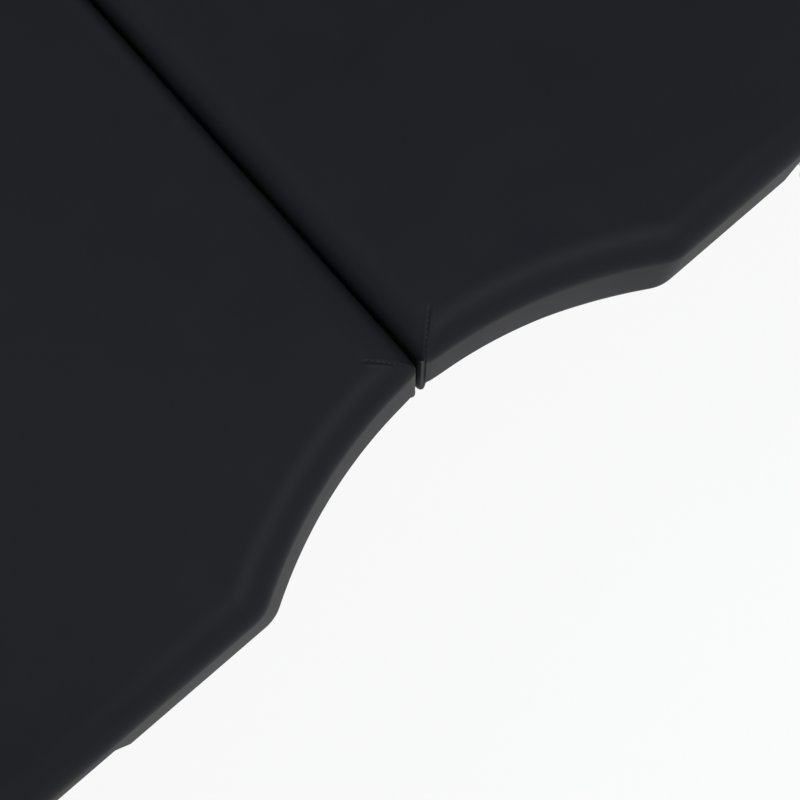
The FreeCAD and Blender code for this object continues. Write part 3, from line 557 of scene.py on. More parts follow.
@dataclass(frozen=True)
class HandleFinish:
    """A nickel rod whose lower run carries a black moulded grip."""

    middle: tuple[float, float, float]
    half_length: float
    radius: float
    metal: Metal
    grip: Moulded

    def material(self) -> bpy.types.Material:
        """The grip is where a point is near the lower run's axis and between the grip's ends."""
        graph = Graph("handle_finish")
        shift = tuple(-value for value in self.middle)
        at = graph.place(shift=shift)
        along = graph.add("ShaderNodeSeparateXYZ", {}, {"Vector": at}, "X")
        off_y, off_z = along.sibling("Y"), along.sibling("Z")
        from_axis = (off_y * off_y + off_z * off_z) ** 0.5
        inside = (along * along).below(self.half_length**2) * from_axis.below(self.radius)
        pits = graph.noise(at, self.grip.pits_per_metre, 3, 0.7)
        cloud = graph.noise(at, self.metal.clouds_per_metre, 4)
        steel = graph.mixed(cloud, self.metal.shadow, self.metal.colour)
        plastic = graph.mixed(cloud, self.grip.colour, self.grip.dusty)
        rough = self.metal.roughness + inside * (self.grip.roughness - self.metal.roughness)
        normal = graph.bump(pits * inside, self.grip.texture, graph.eased_edges(self.metal.edge_round))
        return graph.surface(
            Base_Color=graph.mixed(inside, steel, plastic),
            Metallic=1 - inside,
            Roughness=rough,
            Normal=normal,
        )


NICKEL = Metal("nickel", (0.78, 0.76, 0.72), (0.66, 0.64, 0.60), 0.20)
ZINC = Metal("zinc_steel", (0.62, 0.63, 0.64), (0.50, 0.51, 0.52), 0.34)
GRIP = Moulded("grip_plastic", (0.010, 0.010, 0.011), (0.018, 0.018, 0.019), 0.45, 0.02 * MM)
KNOB = Moulded("knob_plastic", (0.010, 0.010, 0.011), (0.018, 0.018, 0.019), 0.42, 0.02 * MM)
RUBBER = Moulded("rubber", (0.012, 0.012, 0.012), (0.030, 0.029, 0.028), 0.78, 0.06 * MM)
SOCKET_PLASTIC = Moulded("socket_plastic", (0.016, 0.016, 0.017), (0.026, 0.026, 0.027), 0.5, 0.02 * MM)
THREAD = Moulded("thread", (0.010, 0.010, 0.012), (0.02, 0.02, 0.022), 0.6, 0.04 * MM)


# The padded tops


@dataclass(frozen=True)
class Dart:
    """A sewn corner seam, where the sheet is folded and stitched over a padded corner."""

    depth: float = 1.2 * MM
    width: float = 1.0 * MM
    lip: float = 0.35 * MM
    lip_place: float = 2.4 * MM
    pull: float = 1.1 * MM
    pull_width: float = 9 * MM
    reach: float = 44 * MM
    fade: float = 4 * MM
    pitch: float = 4.6 * MM

    def sink(self, along: np.ndarray, beside: np.ndarray) -> np.ndarray:
        """How far the sheet is drawn in at a place near the seam.

        A narrow bell makes the sewn fold, two bells beside it the lips, and a wide one the pull on the foam.

        Args:
            along: Distance in from the pad's corner, along the seam's plan line.
            beside: Distance to the side of the seam.

        Returns:
            The depth, negative where the lips stand up.
        """
        keep = 1 - smooth_step((along - self.reach) / self.fade)
        wide_keep = 1 - smooth_step((along - self.reach / 2) / self.reach)
        fold = self.depth * bell(beside / self.width)
        lips = self.lip * bell((np.abs(beside) - self.lip_place) / self.width)
        return keep * (fold - lips) + wide_keep * self.pull * bell(beside / self.pull_width)


@dataclass(frozen=True)
class Run:
    """A stretch of the outline: its points and the directions square to it, into the pad."""

    points: np.ndarray
    inward: np.ndarray

    @staticmethod
    def line(start: tuple[float, float], way: tuple[float, float], places: np.ndarray) -> "Run":
        """A straight run: its start plus each place times its direction, whose left side is inward."""
        points = np.array(start) + np.outer(places, way)
        return Run(points, np.tile([-way[1], way[0]], (len(places), 1)))

    @staticmethod
    def arc(centre: np.ndarray, radius: float, turns: np.ndarray, way: int) -> "Run":
        """Part of a circle; way is -1 where inward is towards its centre and 1 where it is away from it."""
        spokes = np.stack([np.cos(turns), np.sin(turns)], -1)
        return Run(centre + spokes * radius, way * spokes)


def stations(*spans: tuple[float, float, float]) -> np.ndarray:
    """Places along a run, evenly spaced within each span.

    Args:
        *spans: The start, the end and the largest step of each span, in order.

    Returns:
        All places but the last span's end, which belongs to the next run.
    """
    parts = [
        np.linspace(start, end, 2 * math.ceil(abs(end - start) / step / 2), endpoint=False)
        for start, end, step in spans
    ]
    return np.concatenate(parts)


@dataclass(frozen=True)
class Spacing:
    """The largest steps between outline points, in metres along a run and in radians round a corner."""

    fold: float = 7 * MM
    fold_by_seam: float = 1.6 * MM
    fold_seam_reach: float = 45 * MM
    fold_turn: float = 0.08
    waist: float = 5 * MM
    waist_by_seam: float = 1.8 * MM
    waist_seam_reach: float = 50 * MM
    waist_turn: float = 0.055
    side_by_waist: float = 7 * MM
    band_end: float = 1.5 * MM
    band_stretch: tuple[float, float] = (360 * MM, 380 * MM)
    side: float = 8 * MM
    end_turn: float = 0.07
    end: float = 8 * MM


@dataclass(frozen=True)
class Plan:
    """The right pad's plan: a straight fold edge, a hollow waist, straight sides and a straight end."""

    fold_x: float
    end_x: float
    half_width: float
    waist_length: float = 218 * MM
    waist_depth: float = 68.3 * MM
    waist_radius: float = 422 * MM
    fold_round: float = 10 * MM
    waist_round: float = 37 * MM
    end_round: float = 32 * MM
    spacing: Spacing = field(default_factory=Spacing)

    @property
    def core_reach(self) -> float:
        """Half the pad's width at the fold."""
        return self.half_width - self.waist_depth

    @property
    def waist_centre(self) -> np.ndarray:
        """The waist arc's centre, outside the near side, square to the middle of its chord."""
        chord = np.array([self.waist_length, -self.waist_depth])
        middle = np.array([0.0, -self.core_reach]) + chord / 2
        outward = np.array([chord[1], -chord[0]]) / np.linalg.norm(chord)
        return middle + outward * math.sqrt(self.waist_radius**2 - (np.linalg.norm(chord) / 2) ** 2)

    @property
    def fold_corner(self) -> np.ndarray:
        """The centre of the rounding between the fold edge and the waist."""
        x = self.fold_x + self.fold_round
        reach = self.waist_radius + self.fold_round
        return np.array([x, self.waist_centre[1] + math.sqrt(reach**2 - (x - self.waist_centre[0]) ** 2)])

    @property
    def waist_corner(self) -> np.ndarray:
        """The centre of the rounding between the waist and the straight side."""
        y = self.waist_round - self.half_width
        reach = self.waist_radius + self.waist_round
        return np.array([self.waist_centre[0] + math.sqrt(reach**2 - (y - self.waist_centre[1]) ** 2), y])

    @property
    def end_corner(self) -> np.ndarray:
        """The centre of the rounding between the side and the end."""
        return np.array([self.end_x - self.end_round, self.end_round - self.half_width])

    def near_runs(self) -> list[Run]:
        """The near half of the outline, from the middle of the fold edge to the middle of the end.

        Returns:
            The runs in order, with the points closest where the form changes quickly.
        """
        centre, radius, step = self.waist_centre, self.waist_radius, self.spacing
        fold, waist, end = self.fold_corner, self.waist_corner, self.end_corner
        to_fold = math.atan2(*(fold - centre)[::-1])
        to_waist = math.atan2(*(waist - centre)[::-1])
        down = -math.pi / 2
        by_seam = -fold[1] - step.fold_seam_reach
        past_seam = to_fold - step.waist_seam_reach / radius
        band_start, band_stop = step.band_stretch
        fold_places = stations((0, by_seam, step.fold), (by_seam, -fold[1], step.fold_by_seam))
        fold_turns = stations((-math.pi, to_fold - math.pi, step.fold_turn))
        waist_places = stations(
            (to_fold, past_seam, step.waist_by_seam / radius),
            (past_seam, to_waist, step.waist / radius),
        )
        waist_turns = stations((to_waist - math.pi, down, step.waist_turn))
        side_places = stations(
            (waist[0], band_start, step.side_by_waist),
            (band_start, band_stop, step.band_end),
            (band_stop, end[0], step.side),
        )
        end_turns = stations((down, 0.0, step.end_turn))
        end_places = np.append(stations((0, -end[1], step.end)), -end[1])
        return [
            Run.line((self.fold_x, 0.0), (0.0, -1.0), fold_places),
            Run.arc(fold, self.fold_round, fold_turns, -1),
            Run.arc(centre, radius, waist_places, 1),
            Run.arc(waist, self.waist_round, waist_turns, -1),
            Run.line((0.0, -self.half_width), (1.0, 0.0), side_places),
            Run.arc(end, self.end_round, end_turns, -1),
            Run.line((self.end_x, end[1]), (0.0, 1.0), end_places),
        ]

    def closed(self) -> tuple[np.ndarray, np.ndarray]:
        """The whole outline and its inward directions, the far side being the near side's mirror image."""
        runs = self.near_runs()
        flip = np.array([1.0, -1.0])
        near = [np.concatenate([getattr(run, name) for run in runs]) for name in ("points", "inward")]
        whole = [np.concatenate([values, values[-2:0:-1] * flip]) for values in near]
        return whole[0], whole[1]

    def seams(self) -> list[int]:
        """The outline points in the middle of the two rounded fold corners."""
        runs = self.near_runs()
        near = len(runs[0].points) + len(runs[1].points) // 2
        return [near, len(self.closed()[0]) - near]

    def distances(self, at: np.ndarray) -> dict[str, np.ndarray]:
        """How far plan points lie from the fold edge, the waist, the side and the end.

        Args:
            at: Plan points, with x and y last.

        Returns:
            Distances by edge, and "outer" for the nearest edge but the fold, with its corners rounded: in the
            wedge of a corner it is the corner's radius less the distance from the corner's centre.
        """
        near = np.stack([at[..., 0], -np.abs(at[..., 1])], -1)
        found = {
            "fold": near[..., 0] - self.fold_x,
            "waist": np.linalg.norm(near - self.waist_centre, axis=-1) - self.waist_radius,
            "side": near[..., 1] + self.half_width,
            "end": self.end_x - near[..., 0],
        }
        outer = np.minimum.reduce([found["waist"], found["side"], found["end"]])
        back = self.waist_centre - self.waist_corner
        corners = (
            (self.waist_corner, self.waist_round, back / np.linalg.norm(back)),
            (self.end_corner, self.end_round, np.array([1.0, 0.0])),
        )
        for centre, radius, first in corners:
            off = near - centre
            share = off[..., 0] / first[0]
            wedge = (share > 0) & (share * first[1] - off[..., 1] > 0)
            outer = np.where(wedge, radius - np.linalg.norm(off, axis=-1), outer)
        return {**found, "outer": outer}


@dataclass(frozen=True)
class Pad:
    """One half's padded top: a foam slab under a stretched black sheet, with stitched corner seams."""

    plan: Plan
    rail_plan: Plan
    top: float
    bottom: float
    band_bottom: float
    deck_top: float
    reach: float = 31 * MM
    drop: float = 27 * MM
    crown: float = 1.6 * MM
    crown_width: float = 130 * MM
    hem_width: float = 5 * MM
    hem_round: float = 3 * MM
    sheet: float = 1.2 * MM
    belly: float = 0.4 * MM
    band_end: tuple[float, float] = (368.5 * MM, 370.5 * MM)
    band_return: float = 34.5 * MM
    band_knee: float = 480 * MM
    band_inset: float = 7.8 * MM
    dart: Dart = field(default_factory=Dart)
    dart_start_rows: float = 5.0
    lid_shares: tuple[float, ...] = (0.0, 0.35, 0.7, 1.0)
    hem_rows: int = 5
    wall_rows: int = 22
    crest_rows: int = 30
    top_rows: int = 26
    top_bias: float = 1.5
    settle_cap: float = 0.8 * MM
    settle_step: float = 6 * MM
    settle_row_step: int = 2
    settle_top_rows: int = 9
    settle_smoothings: int = 12

    def height(self, at: np.ndarray) -> np.ndarray:
        """The sheet's level over plan points.

        The top is a shallow crown, whose rise is the product of one eased step for each edge. Less that,
        the edge falls as a quarter of an ellipse over the distance from the fold or from the outer edge,
        whichever has fallen further, so that the two meet in a mitre at the fold's corners.

        Args:
            at: Plan points, with x and y last.

        Returns:
            One level for each point.
        """
        away = self.plan.distances(at)
        steps = [smooth_step(away[edge] / self.crown_width) for edge in ("fold", "waist", "side", "end")]
        crowned = self.crown * (1 - np.prod(steps, axis=0))
        over = np.clip(1 - np.minimum(away["fold"], away["outer"]) / self.reach, 0, 1)
        return self.top - crowned - self.drop * (1 - np.sqrt(1 - over * over))

    def lower_edge(self, points: np.ndarray) -> np.ndarray:
        """The level where the sheet ends at each outline point: lower over the waist's curved rails."""
        x, y = points[:, 0], np.abs(points[:, 1])
        low, high = self.band_end
        slanted = np.clip((x - low) / (high - low), 0, 1)
        edge = self.band_bottom + (self.bottom - self.band_bottom) * slanted
        inboard = y < self.plan.core_reach - self.band_return
        return np.where(inboard, self.bottom, edge)

    def drawn(self, points: np.ndarray, level: np.ndarray | float) -> np.ndarray:
        """How far the band is drawn in towards the curved rails at a level.

        Below the knee the inset grows in a straight line, to reach the rails' own plan at the lower edge. It
        eases off round the fold's corners, where the band lies flat over the rails' ends.

        Args:
            points: Outline points.
            level: Levels, one for all or one for each point.

        Returns:
            One inset for each point.
        """
        to_rail = self.band_inset - self.rail_plan.distances(points)["outer"]
        share = np.clip((self.band_knee - level) / (self.band_knee - self.band_bottom), 0, 1)
        return to_rail * share * smooth_step((points[:, 0] - self.plan.fold_x) / self.plan.fold_round)

    @property
    def first_wall(self) -> int:
        """The row where the wall begins, after the lid's rows, three inside the hem and its rounding."""
        return len(self.lid_shares) + 3 + self.hem_rows

    @property
    def first_crest(self) -> int:
        """The row where the rounded edge begins."""
        return self.first_wall + self.wall_rows

    def grid(self) -> np.ndarray:
        """All points of the pad as rows that each follow the outline.

        The rows go from the middle of the underside out to the deck's edge, round the hem, up the wall, and
        over the top along straight lines to the pad's middle line.

        Returns:
            The points as rows by columns by three.
        """
        points, inward = self.plan.closed()
        low = self.lower_edge(points)
        plan = self.plan
        core_x = np.clip(points[:, 0], plan.fold_x + plan.core_reach, plan.end_x - plan.core_reach)
        core = np.stack([core_x, np.zeros(len(points))], -1)

        def ring(inset: np.ndarray | float, level: np.ndarray | float) -> np.ndarray:
            """Outline points set in by distances, at levels; each is one for all or one for each point."""
            inset = np.broadcast_to(inset, len(points))[:, None]
            return np.column_stack([points + inward * inset, np.broadcast_to(level, len(points))])

        band = np.clip((self.bottom - low) / (self.bottom - self.band_bottom), 0, 1)
        foot = self.drawn(points, low)
        inner = (1 - band) * 2 * self.sheet + band * (foot + 1.4 * self.sheet)
        hem = (1 - band) * self.hem_width + band * (foot + 1.5 * self.sheet)
        hem_round = (1 - band) * self.hem_round + band * self.sheet
        lid = ring(2 * self.sheet, self.deck_top)
        lid_core = np.column_stack([core, lid[:, 2]])
        rows = [lid_core + (lid - lid_core) * share for share in self.lid_shares]
        rows += [ring(inner, low + self.sheet), ring(hem, low + self.sheet), ring(hem, low)]
        for turn in np.linspace(0, math.pi / 2, self.hem_rows):
            rows.append(ring(foot + hem_round * (1 - math.sin(turn)), low + hem_round * (1 - math.cos(turn))))
        wall_low = rows[-1][:, 2]
        wall_high = self.height(points)
        for share in np.linspace(0, 1, self.wall_rows + 2)[1:-1]:
            level = wall_low + (wall_high - wall_low) * share
            out = self.belly * math.sin(math.pi * share)
            rows.append(ring(self.drawn(points, level) - out, level))
        run_in = np.linalg.norm(core - points, axis=1)
        crest_end = math.sqrt(2) * self.reach
        crest = crest_end * (1 - np.cos(np.linspace(0, math.pi / 2, self.crest_rows)))
        for reach in crest:
            rows.append(self._over(points + (core - points) * (reach / run_in)[:, None]))
        gone = crest_end / run_in
        for share in np.linspace(0, 1, self.top_rows + 1)[1:] ** self.top_bias:
            rows.append(self._over(points + (core - points) * (gone + (1 - gone) * share)[:, None]))
        return self._darted(np.stack(rows))

    def _over(self, at: np.ndarray) -> np.ndarray:
        """Plan points lifted to the sheet."""
        return np.column_stack([at, self.height(at)])

    def _darted(self, grid: np.ndarray) -> np.ndarray:
        """Draws the sheet in along each seam, square to the surface.

        The plan line of a seam is where the distances from the fold and from the waist are equal. Their sum
        over the square root of two is the distance along it, and their difference over the same is that
        beside it.

        Args:
            grid: The plain pad's points.

        Returns:
            The points with the seams sunk in.
        """
        away = self.plan.distances(grid[..., :2])
        along = (away["fold"] + away["outer"]) / math.sqrt(2)
        beside = (away["fold"] - away["outer"]) / math.sqrt(2)
        down = np.gradient(grid, axis=0)
        across = np.roll(grid, -1, axis=1) - np.roll(grid, 1, axis=1)
        normal = np.cross(across, down)
        normal /= np.linalg.norm(normal, axis=-1, keepdims=True) + TINY
        above_hem = smooth_step((np.arange(len(grid)) - self.first_wall) / self.dart_start_rows)[:, None]
        sink = self.dart.sink(along, beside) * above_hem
        return grid - normal * sink[..., None]

    def settled(self, grid: np.ndarray) -> np.ndarray:
        """Lets the sheet swell under a light pressure, with its hem, its seams and its middle held.

        A coarse copy of the grid is simulated. What it moves is limited by a hyperbolic tangent, spread in
        straight lines to the points between its rows and columns, and smoothed.

        Args:
            grid: The pad's points as rows and columns.

        Returns:
            The settled points, each moved by at most the cap.
        """
        first = self.first_wall
        rows = np.unique(np.append(np.arange(first, len(grid), self.settle_row_step), len(grid) - 1))
        girth = np.linalg.norm(np.diff(grid[first], axis=0), axis=1).cumsum()
        even = np.searchsorted(girth, np.arange(0, girth[-1], self.settle_step))
        columns = np.unique(np.concatenate([even, self.plan.seams()]))
        coarse = grid[np.ix_(rows, columns)]
        held = np.zeros(coarse.shape[:2], bool)
        held[:2] = True
        held[rows > self.first_crest + self.crest_rows + self.settle_top_rows] = True
        held[:, np.isin(columns, self.plan.seams())] = True
        move = self._simulate(coarse, held)
        length = np.linalg.norm(move, axis=-1, keepdims=True) + TINY
        move *= self.settle_cap * np.tanh(length / self.settle_cap) / length
        move[held] = 0
        wrapped = np.concatenate([move, move[:, :1]], 1)
        ends = np.append(columns, grid.shape[1])
        every_column = np.arange(grid.shape[1])
        every_row = np.arange(len(grid))
        wide = np.apply_along_axis(lambda line: np.interp(every_column, ends, line), 1, wrapped)
        full = np.apply_along_axis(lambda line: np.interp(every_row, rows, line), 0, wide)
        full[:first] = 0
        for _ in range(self.settle_smoothings):
            beside = np.roll(full, 1, axis=1) + np.roll(full, -1, axis=1)
            padded = np.concatenate([full[:1], full, full[-1:]])
            full = (beside + padded[:-2] + padded[2:]) / 4
        LOG.info("sheet settled by up to %.2f mm", float(np.linalg.norm(full, axis=-1).max()) / MM)
        return grid + full

    def _simulate(self, grid: np.ndarray, held: np.ndarray) -> np.ndarray:
        """Runs the cloth solver on a grid and hands back how far each point moved."""
        mesh = bpy.data.meshes.new("sheet_trial")
        mesh.from_pydata(grid.reshape(-1, 3).tolist(), [], grid_faces(*grid.shape[:2], True).tolist())
        trial = bpy.data.objects.new("sheet_trial", mesh)
        bpy.context.scene.collection.objects.link(trial)
        group = trial.vertex_groups.new(name="held")
        group.add(np.flatnonzero(held.ravel()).tolist(), 1.0, "REPLACE")
        cloth = trial.modifiers.new("settle", "CLOTH")
        settings = cloth.settings
        settings.quality = 5
        settings.mass = 0.3
        settings.tension_stiffness = 15
        settings.compression_stiffness = 15
        settings.shear_stiffness = 8
        settings.bending_stiffness = 1.5
        settings.use_pressure = True
        settings.uniform_pressure_force = 4
        settings.vertex_group_mass = "held"
        settings.effector_weights.gravity = 0
        cloth.collision_settings.use_collision = False
        cloth.point_cache.frame_start, cloth.point_cache.frame_end = CLOTH_FRAMES
        scene = bpy.context.scene
        for frame in range(CLOTH_FRAMES[0], CLOTH_FRAMES[1] + 1):
            scene.frame_set(frame)
        shown = trial.evaluated_get(bpy.context.evaluated_depsgraph_get())
        found = np.zeros(grid.size, np.float32)
        shown.data.vertices.foreach_get("co", found)
        scene.frame_set(CLOTH_FRAMES[0])
        bpy.data.objects.remove(trial)
        bpy.data.meshes.remove(mesh)
        return found.reshape(grid.shape) - grid


@dataclass(frozen=True)
class Padding:
    """Both padded tops and the thread in their corner seams."""

    thread_radius: float = 0.45 * MM
    stitch: float = 3.0 * MM
    bead_points: int = 7
    bead_sides: int = 8
    fill: float = 0.9
    rail_waist_length: float = 220 * MM
    rail_waist_depth: float = 74 * MM
    rail_waist_radius: float = 560 * MM

    def pad(self) -> Pad:
        """The right half's pad, sized from the model's own cover, deck and skirts."""
        low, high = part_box("right_cover")
        band_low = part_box("right_skirts")[0].z
        deck_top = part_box("right_deck")[1].z
        plan = Plan(low.x, high.x, high.y)
        rail_plan = replace(
            plan,
            waist_length=self.rail_waist_length,
            waist_depth=self.rail_waist_depth,
            waist_radius=self.rail_waist_radius,
        )
        return Pad(plan, rail_plan, high.z, low.z, band_low, deck_top)

    def build(self, leather: bpy.types.Material, thread: bpy.types.Material) -> None:
        """Builds one pad, settles it once and mirrors it for the other half.

        Args:
            leather: The sheet's material.
            thread: The stitches' material.
        """
        pad = self.pad()
        grid = pad.grid()
        grid = pad.settled(grid)
        faces = grid_faces(*grid.shape[:2], True)
        for side in Side:
            half = grid * np.array([side.value, 1, 1])
            top = mesh_object(side.word + "_padded_top", half, faces)
            top.data.materials.append(leather)
            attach(top, side.word + "_half")
            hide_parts(*(f"{side.word}_{piece}" for piece in ("cover", "foam", "skirts")))
            LOG.info("%s: %d faces", top.name, len(top.data.polygons))
            self._stitches(side, half, pad, thread)

    def _stitches(self, side: Side, grid: np.ndarray, pad: Pad, thread: bpy.types.Material) -> None:
        """Lays a short run of thread at each stitch along each seam."""
        turn = np.linspace(0, math.pi, self.bead_points)
        bead = np.stack([self.thread_radius * np.sin(turn), -self.stitch / 2 * np.cos(turn)], -1)
        origins, axes = [], []
        for column in pad.plan.seams():
            line = grid[pad.first_crest - pad.wall_rows // 2 : pad.first_crest + pad.crest_rows - 1, column]
            length = np.append(0, np.linalg.norm(np.diff(line, axis=0), axis=1).cumsum())
            places = np.arange(pad.dart.pitch, length[-1], pad.dart.pitch)
            at, ahead, before = (
                np.stack([np.interp(places + shift, length, line[:, axis]) for axis in range(3)], -1)
                for shift in (0, MM, -MM)
            )
            origins.append(at)
            axes.append(ahead - before)
        copies = Copies(bead, self.bead_sides)
        points, faces = copies.points(np.concatenate(origins), np.concatenate(axes))
        made = mesh_object(side.word + "_seam_thread", points, faces)
        made.data.materials.append(thread)
        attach(made, side.word + "_half")
        LOG.info("%s: %d stitches", made.name, sum(map(len, origins)))


# Small fasteners


@dataclass(frozen=True)
class Screws:
    """A set of equal small screws, each a turned head with a dished drive.

    The head's outline is in shares of its radius and height, from the drive's floor out to the rim.
    """

    radius: float
    height: float
    around: int = 20
    root: float = 0.3 * MM
    outline: tuple = ((0, 0.3), (0.28, 0.3), (0.4, 0.98), (0.62, 1.0), (0.86, 0.72), (1.0, 0.2))

    def profile(self) -> np.ndarray:
        """Radius and height from the drive's floor out over the head and back under it."""
        head = [(self.radius * across, self.height * up) for across, up in self.outline]
        return np.array([*head, (self.radius, -self.root), (0, -self.root)])

    def build(self, name: str, origins: list, axes: list, body: str, finish: bpy.types.Material) -> None:
        """Makes all the heads as one object that rides on a body.

        Args:
            name: The object's name.
            origins: Where each head sits on its surface.
            axes: Which way each head points.
            body: The body that carries them.
            finish: Their material.
        """
        points, faces = Copies(self.profile(), self.around).points(np.array(origins), np.array(axes, float))
        made = mesh_object(name, points, faces)
        made.data.materials.append(finish)
        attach(made, body)
        LOG.info("%s: %d screws", name, len(origins))


@dataclass(frozen=True)
class Fasteners:
    """The screws that hold the handle's leaves, the hinge leaves and the crossbars."""

    finish: bpy.types.Material
    leaf_head: Screws = Screws(2.6 * MM, 0.7 * MM)
    leaf_thickness: float = 2.5 * MM
    leaf_holes: tuple[tuple[float, float], ...] = ((14 * MM, 0.0), (29 * MM, -7 * MM), (29 * MM, 7 * MM))
    hinge_head: Screws = Screws(3 * MM, 0.12 * MM)
    hinge_rises: tuple[float, float] = (14 * MM, 36 * MM)
    hinge_places: tuple[float, float] = (-26 * MM, 26 * MM)
    hinge_spacing: float = 180 * MM
    hinge_face: float = 0.2 * MM
    bar_head: Screws = Screws(4 * MM, 0.9 * MM)
    bar_rises: tuple[float, float] = (14 * MM, 36 * MM)
    bar_inset: float = 11 * MM

    def build(self) -> None:
        """Adds every set, placed from the boxes of the pieces that they hold."""
        self._leaves()
        for side in Side:
            self._hinges(side)
            self._crossbar(side)

    def _leaves(self) -> None:
        """Screws through the handle's two leaf plates."""
        low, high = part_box("handle_brackets")
        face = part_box("right_near_rail")[0].y - self.leaf_thickness
        middle = (low.z + high.z) / 2
        origins = [
            (end + way * place, face, middle + rise)
            for end, way in ((low.x, 1), (high.x, -1))
            for place, rise in self.leaf_holes
        ]
        axes = [(0, -1, 0)] * len(origins)
        self.leaf_head.build("leaf_screws", origins, axes, "right_half", self.finish)

    def _hinges(self, side: Side) -> None:
        """Flush screws in the hinge leaves' faces, seen when the table is folded."""
        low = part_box(side.word + "_hinge_leaves")[0]
        origins = [
            (self.hinge_face * side.value, row * self.hinge_spacing + place, low.z + rise)
            for row in (-1, 0, 1)
            for place in self.hinge_places
            for rise in self.hinge_rises
        ]
        axes = [(-side.value, 0, 0)] * len(origins)
        self.hinge_head.build(side.word + "_hinge_screws", origins, axes, side.word + "_half", self.finish)

    def _crossbar(self, side: Side) -> None:
        """Screws through the crossbar's outer face into each upper leg."""
        low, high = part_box(side.word + "_crossbar")
        face = high.x if side is Side.RIGHT else low.x
        origins = [
            (face, row * (high.y - self.bar_inset), low.z + rise)
            for row in (-1, 1)
            for rise in self.bar_rises
        ]
        axes = [(side.value, 0, 0)] * len(origins)
        self.bar_head.build(side.word + "_crossbar_screws", origins, axes, side.word + "_legs", self.finish)


# Finishes on the model's own nodes


@dataclass(frozen=True)
class Dressing:
    """Gives every node of the frame its finish."""

    leather: bpy.types.Material
    grip_half_length: float = 33.5 * MM
    grip_margin: float = 1.1

    def finishes(self) -> dict[str, bpy.types.Material]:
        """Materials by the ending of the node names they are for."""
        beech = Beech()
        along = beech.material(Grain.ALONG)
        across = beech.material(Grain.ACROSS)
        upright = beech.material(Grain.UPRIGHT)
        zinc = ZINC.material()
        nickel = NICKEL.material()
        return {
            "_deck": Plywood().material(),
            "_far_rail": along,
            "_near_rail": along,
            "_fold_rail": across,
            "_end_rail": across,
            "_waist_rails": LaminatedBeech().material(),
            "_skirts": self.leather,
            "_battens": along,
            "_corner_blocks": along,
            "_upper_leg": upright,
            "_lower_leg": upright,
            "_crossbar": across,
            "_pivot_hardware": zinc,
            "_leg_fasteners": zinc,
            "_hinge_leaves": zinc,
            "hinge_pins": zinc,
            "_upper_stays": zinc,
            "_lower_stays": zinc,
            "_foot": RUBBER.material(),
            "_knob": KNOB.material(),
            "handle_brackets": nickel,
            "handle": self.handle_finish(),
            "_hook": nickel,
            "hook_screws": nickel,
            "catches": nickel,
            "headrest_sockets": SOCKET_PLASTIC.material(),
        }

    def handle_finish(self) -> bpy.types.Material:
        """The handle's finish, with its grip found from the handle's own box."""
        low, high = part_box("handle")
        radius = (high.y - low.y) / 2
        middle = ((low.x + high.x) / 2, (low.y + high.y) / 2, low.z + radius)
        grip = HandleFinish(middle, self.grip_half_length, radius * self.grip_margin, NICKEL, GRIP)
        return grip.material()

    def dress(self, nodes: dict[str, bpy.types.Object]) -> None:
        """Puts the finishes into the nodes' material slots.

        Args:
            nodes: The frame's nodes by name.
        """
        finishes = self.finishes()
        for name, node in nodes.items():
            ending = max((end for end in finishes if name.endswith(end)), key=len, default=None)
            if ending is None:
                continue
            node.data.materials.clear()
            node.data.materials.append(finishes[ending])


# Floor, light and camera


@dataclass(frozen=True)
class Lamp:
    """A square soft lamp at a place, facing another."""

    name: str
    place: tuple[float, float, float]
    aim: tuple[float, float, float]
    size: float
    power: float
    colour: tuple[float, float, float]

    def build(self) -> None:
        """Adds the lamp, turned to what it faces."""
        data = bpy.data.lights.new(self.name, "AREA")
        data.shape = "SQUARE"
        data.size = self.size
        data.energy = self.power
        data.color = self.colour
        lamp = bpy.data.objects.new(self.name, data)
        bpy.context.scene.collection.objects.link(lamp)
        turn = (Vector(self.aim) - Vector(self.place)).to_track_quat("-Z", "Y")
        lamp.matrix_world = Matrix.Translation(self.place) @ turn.to_matrix().to_4x4()


KEY = Lamp("key", (0.2, -1.25, 2.7), (0.12, -0.3, 0.57), 0.7, 30.0, (0.86, 0.92, 1.0))
BACK = Lamp("back", (-0.8, 0.85, 2.6), (0.03, -0.05, 0.57), 1.2, 8.0, (0.88, 0.94, 1.0))


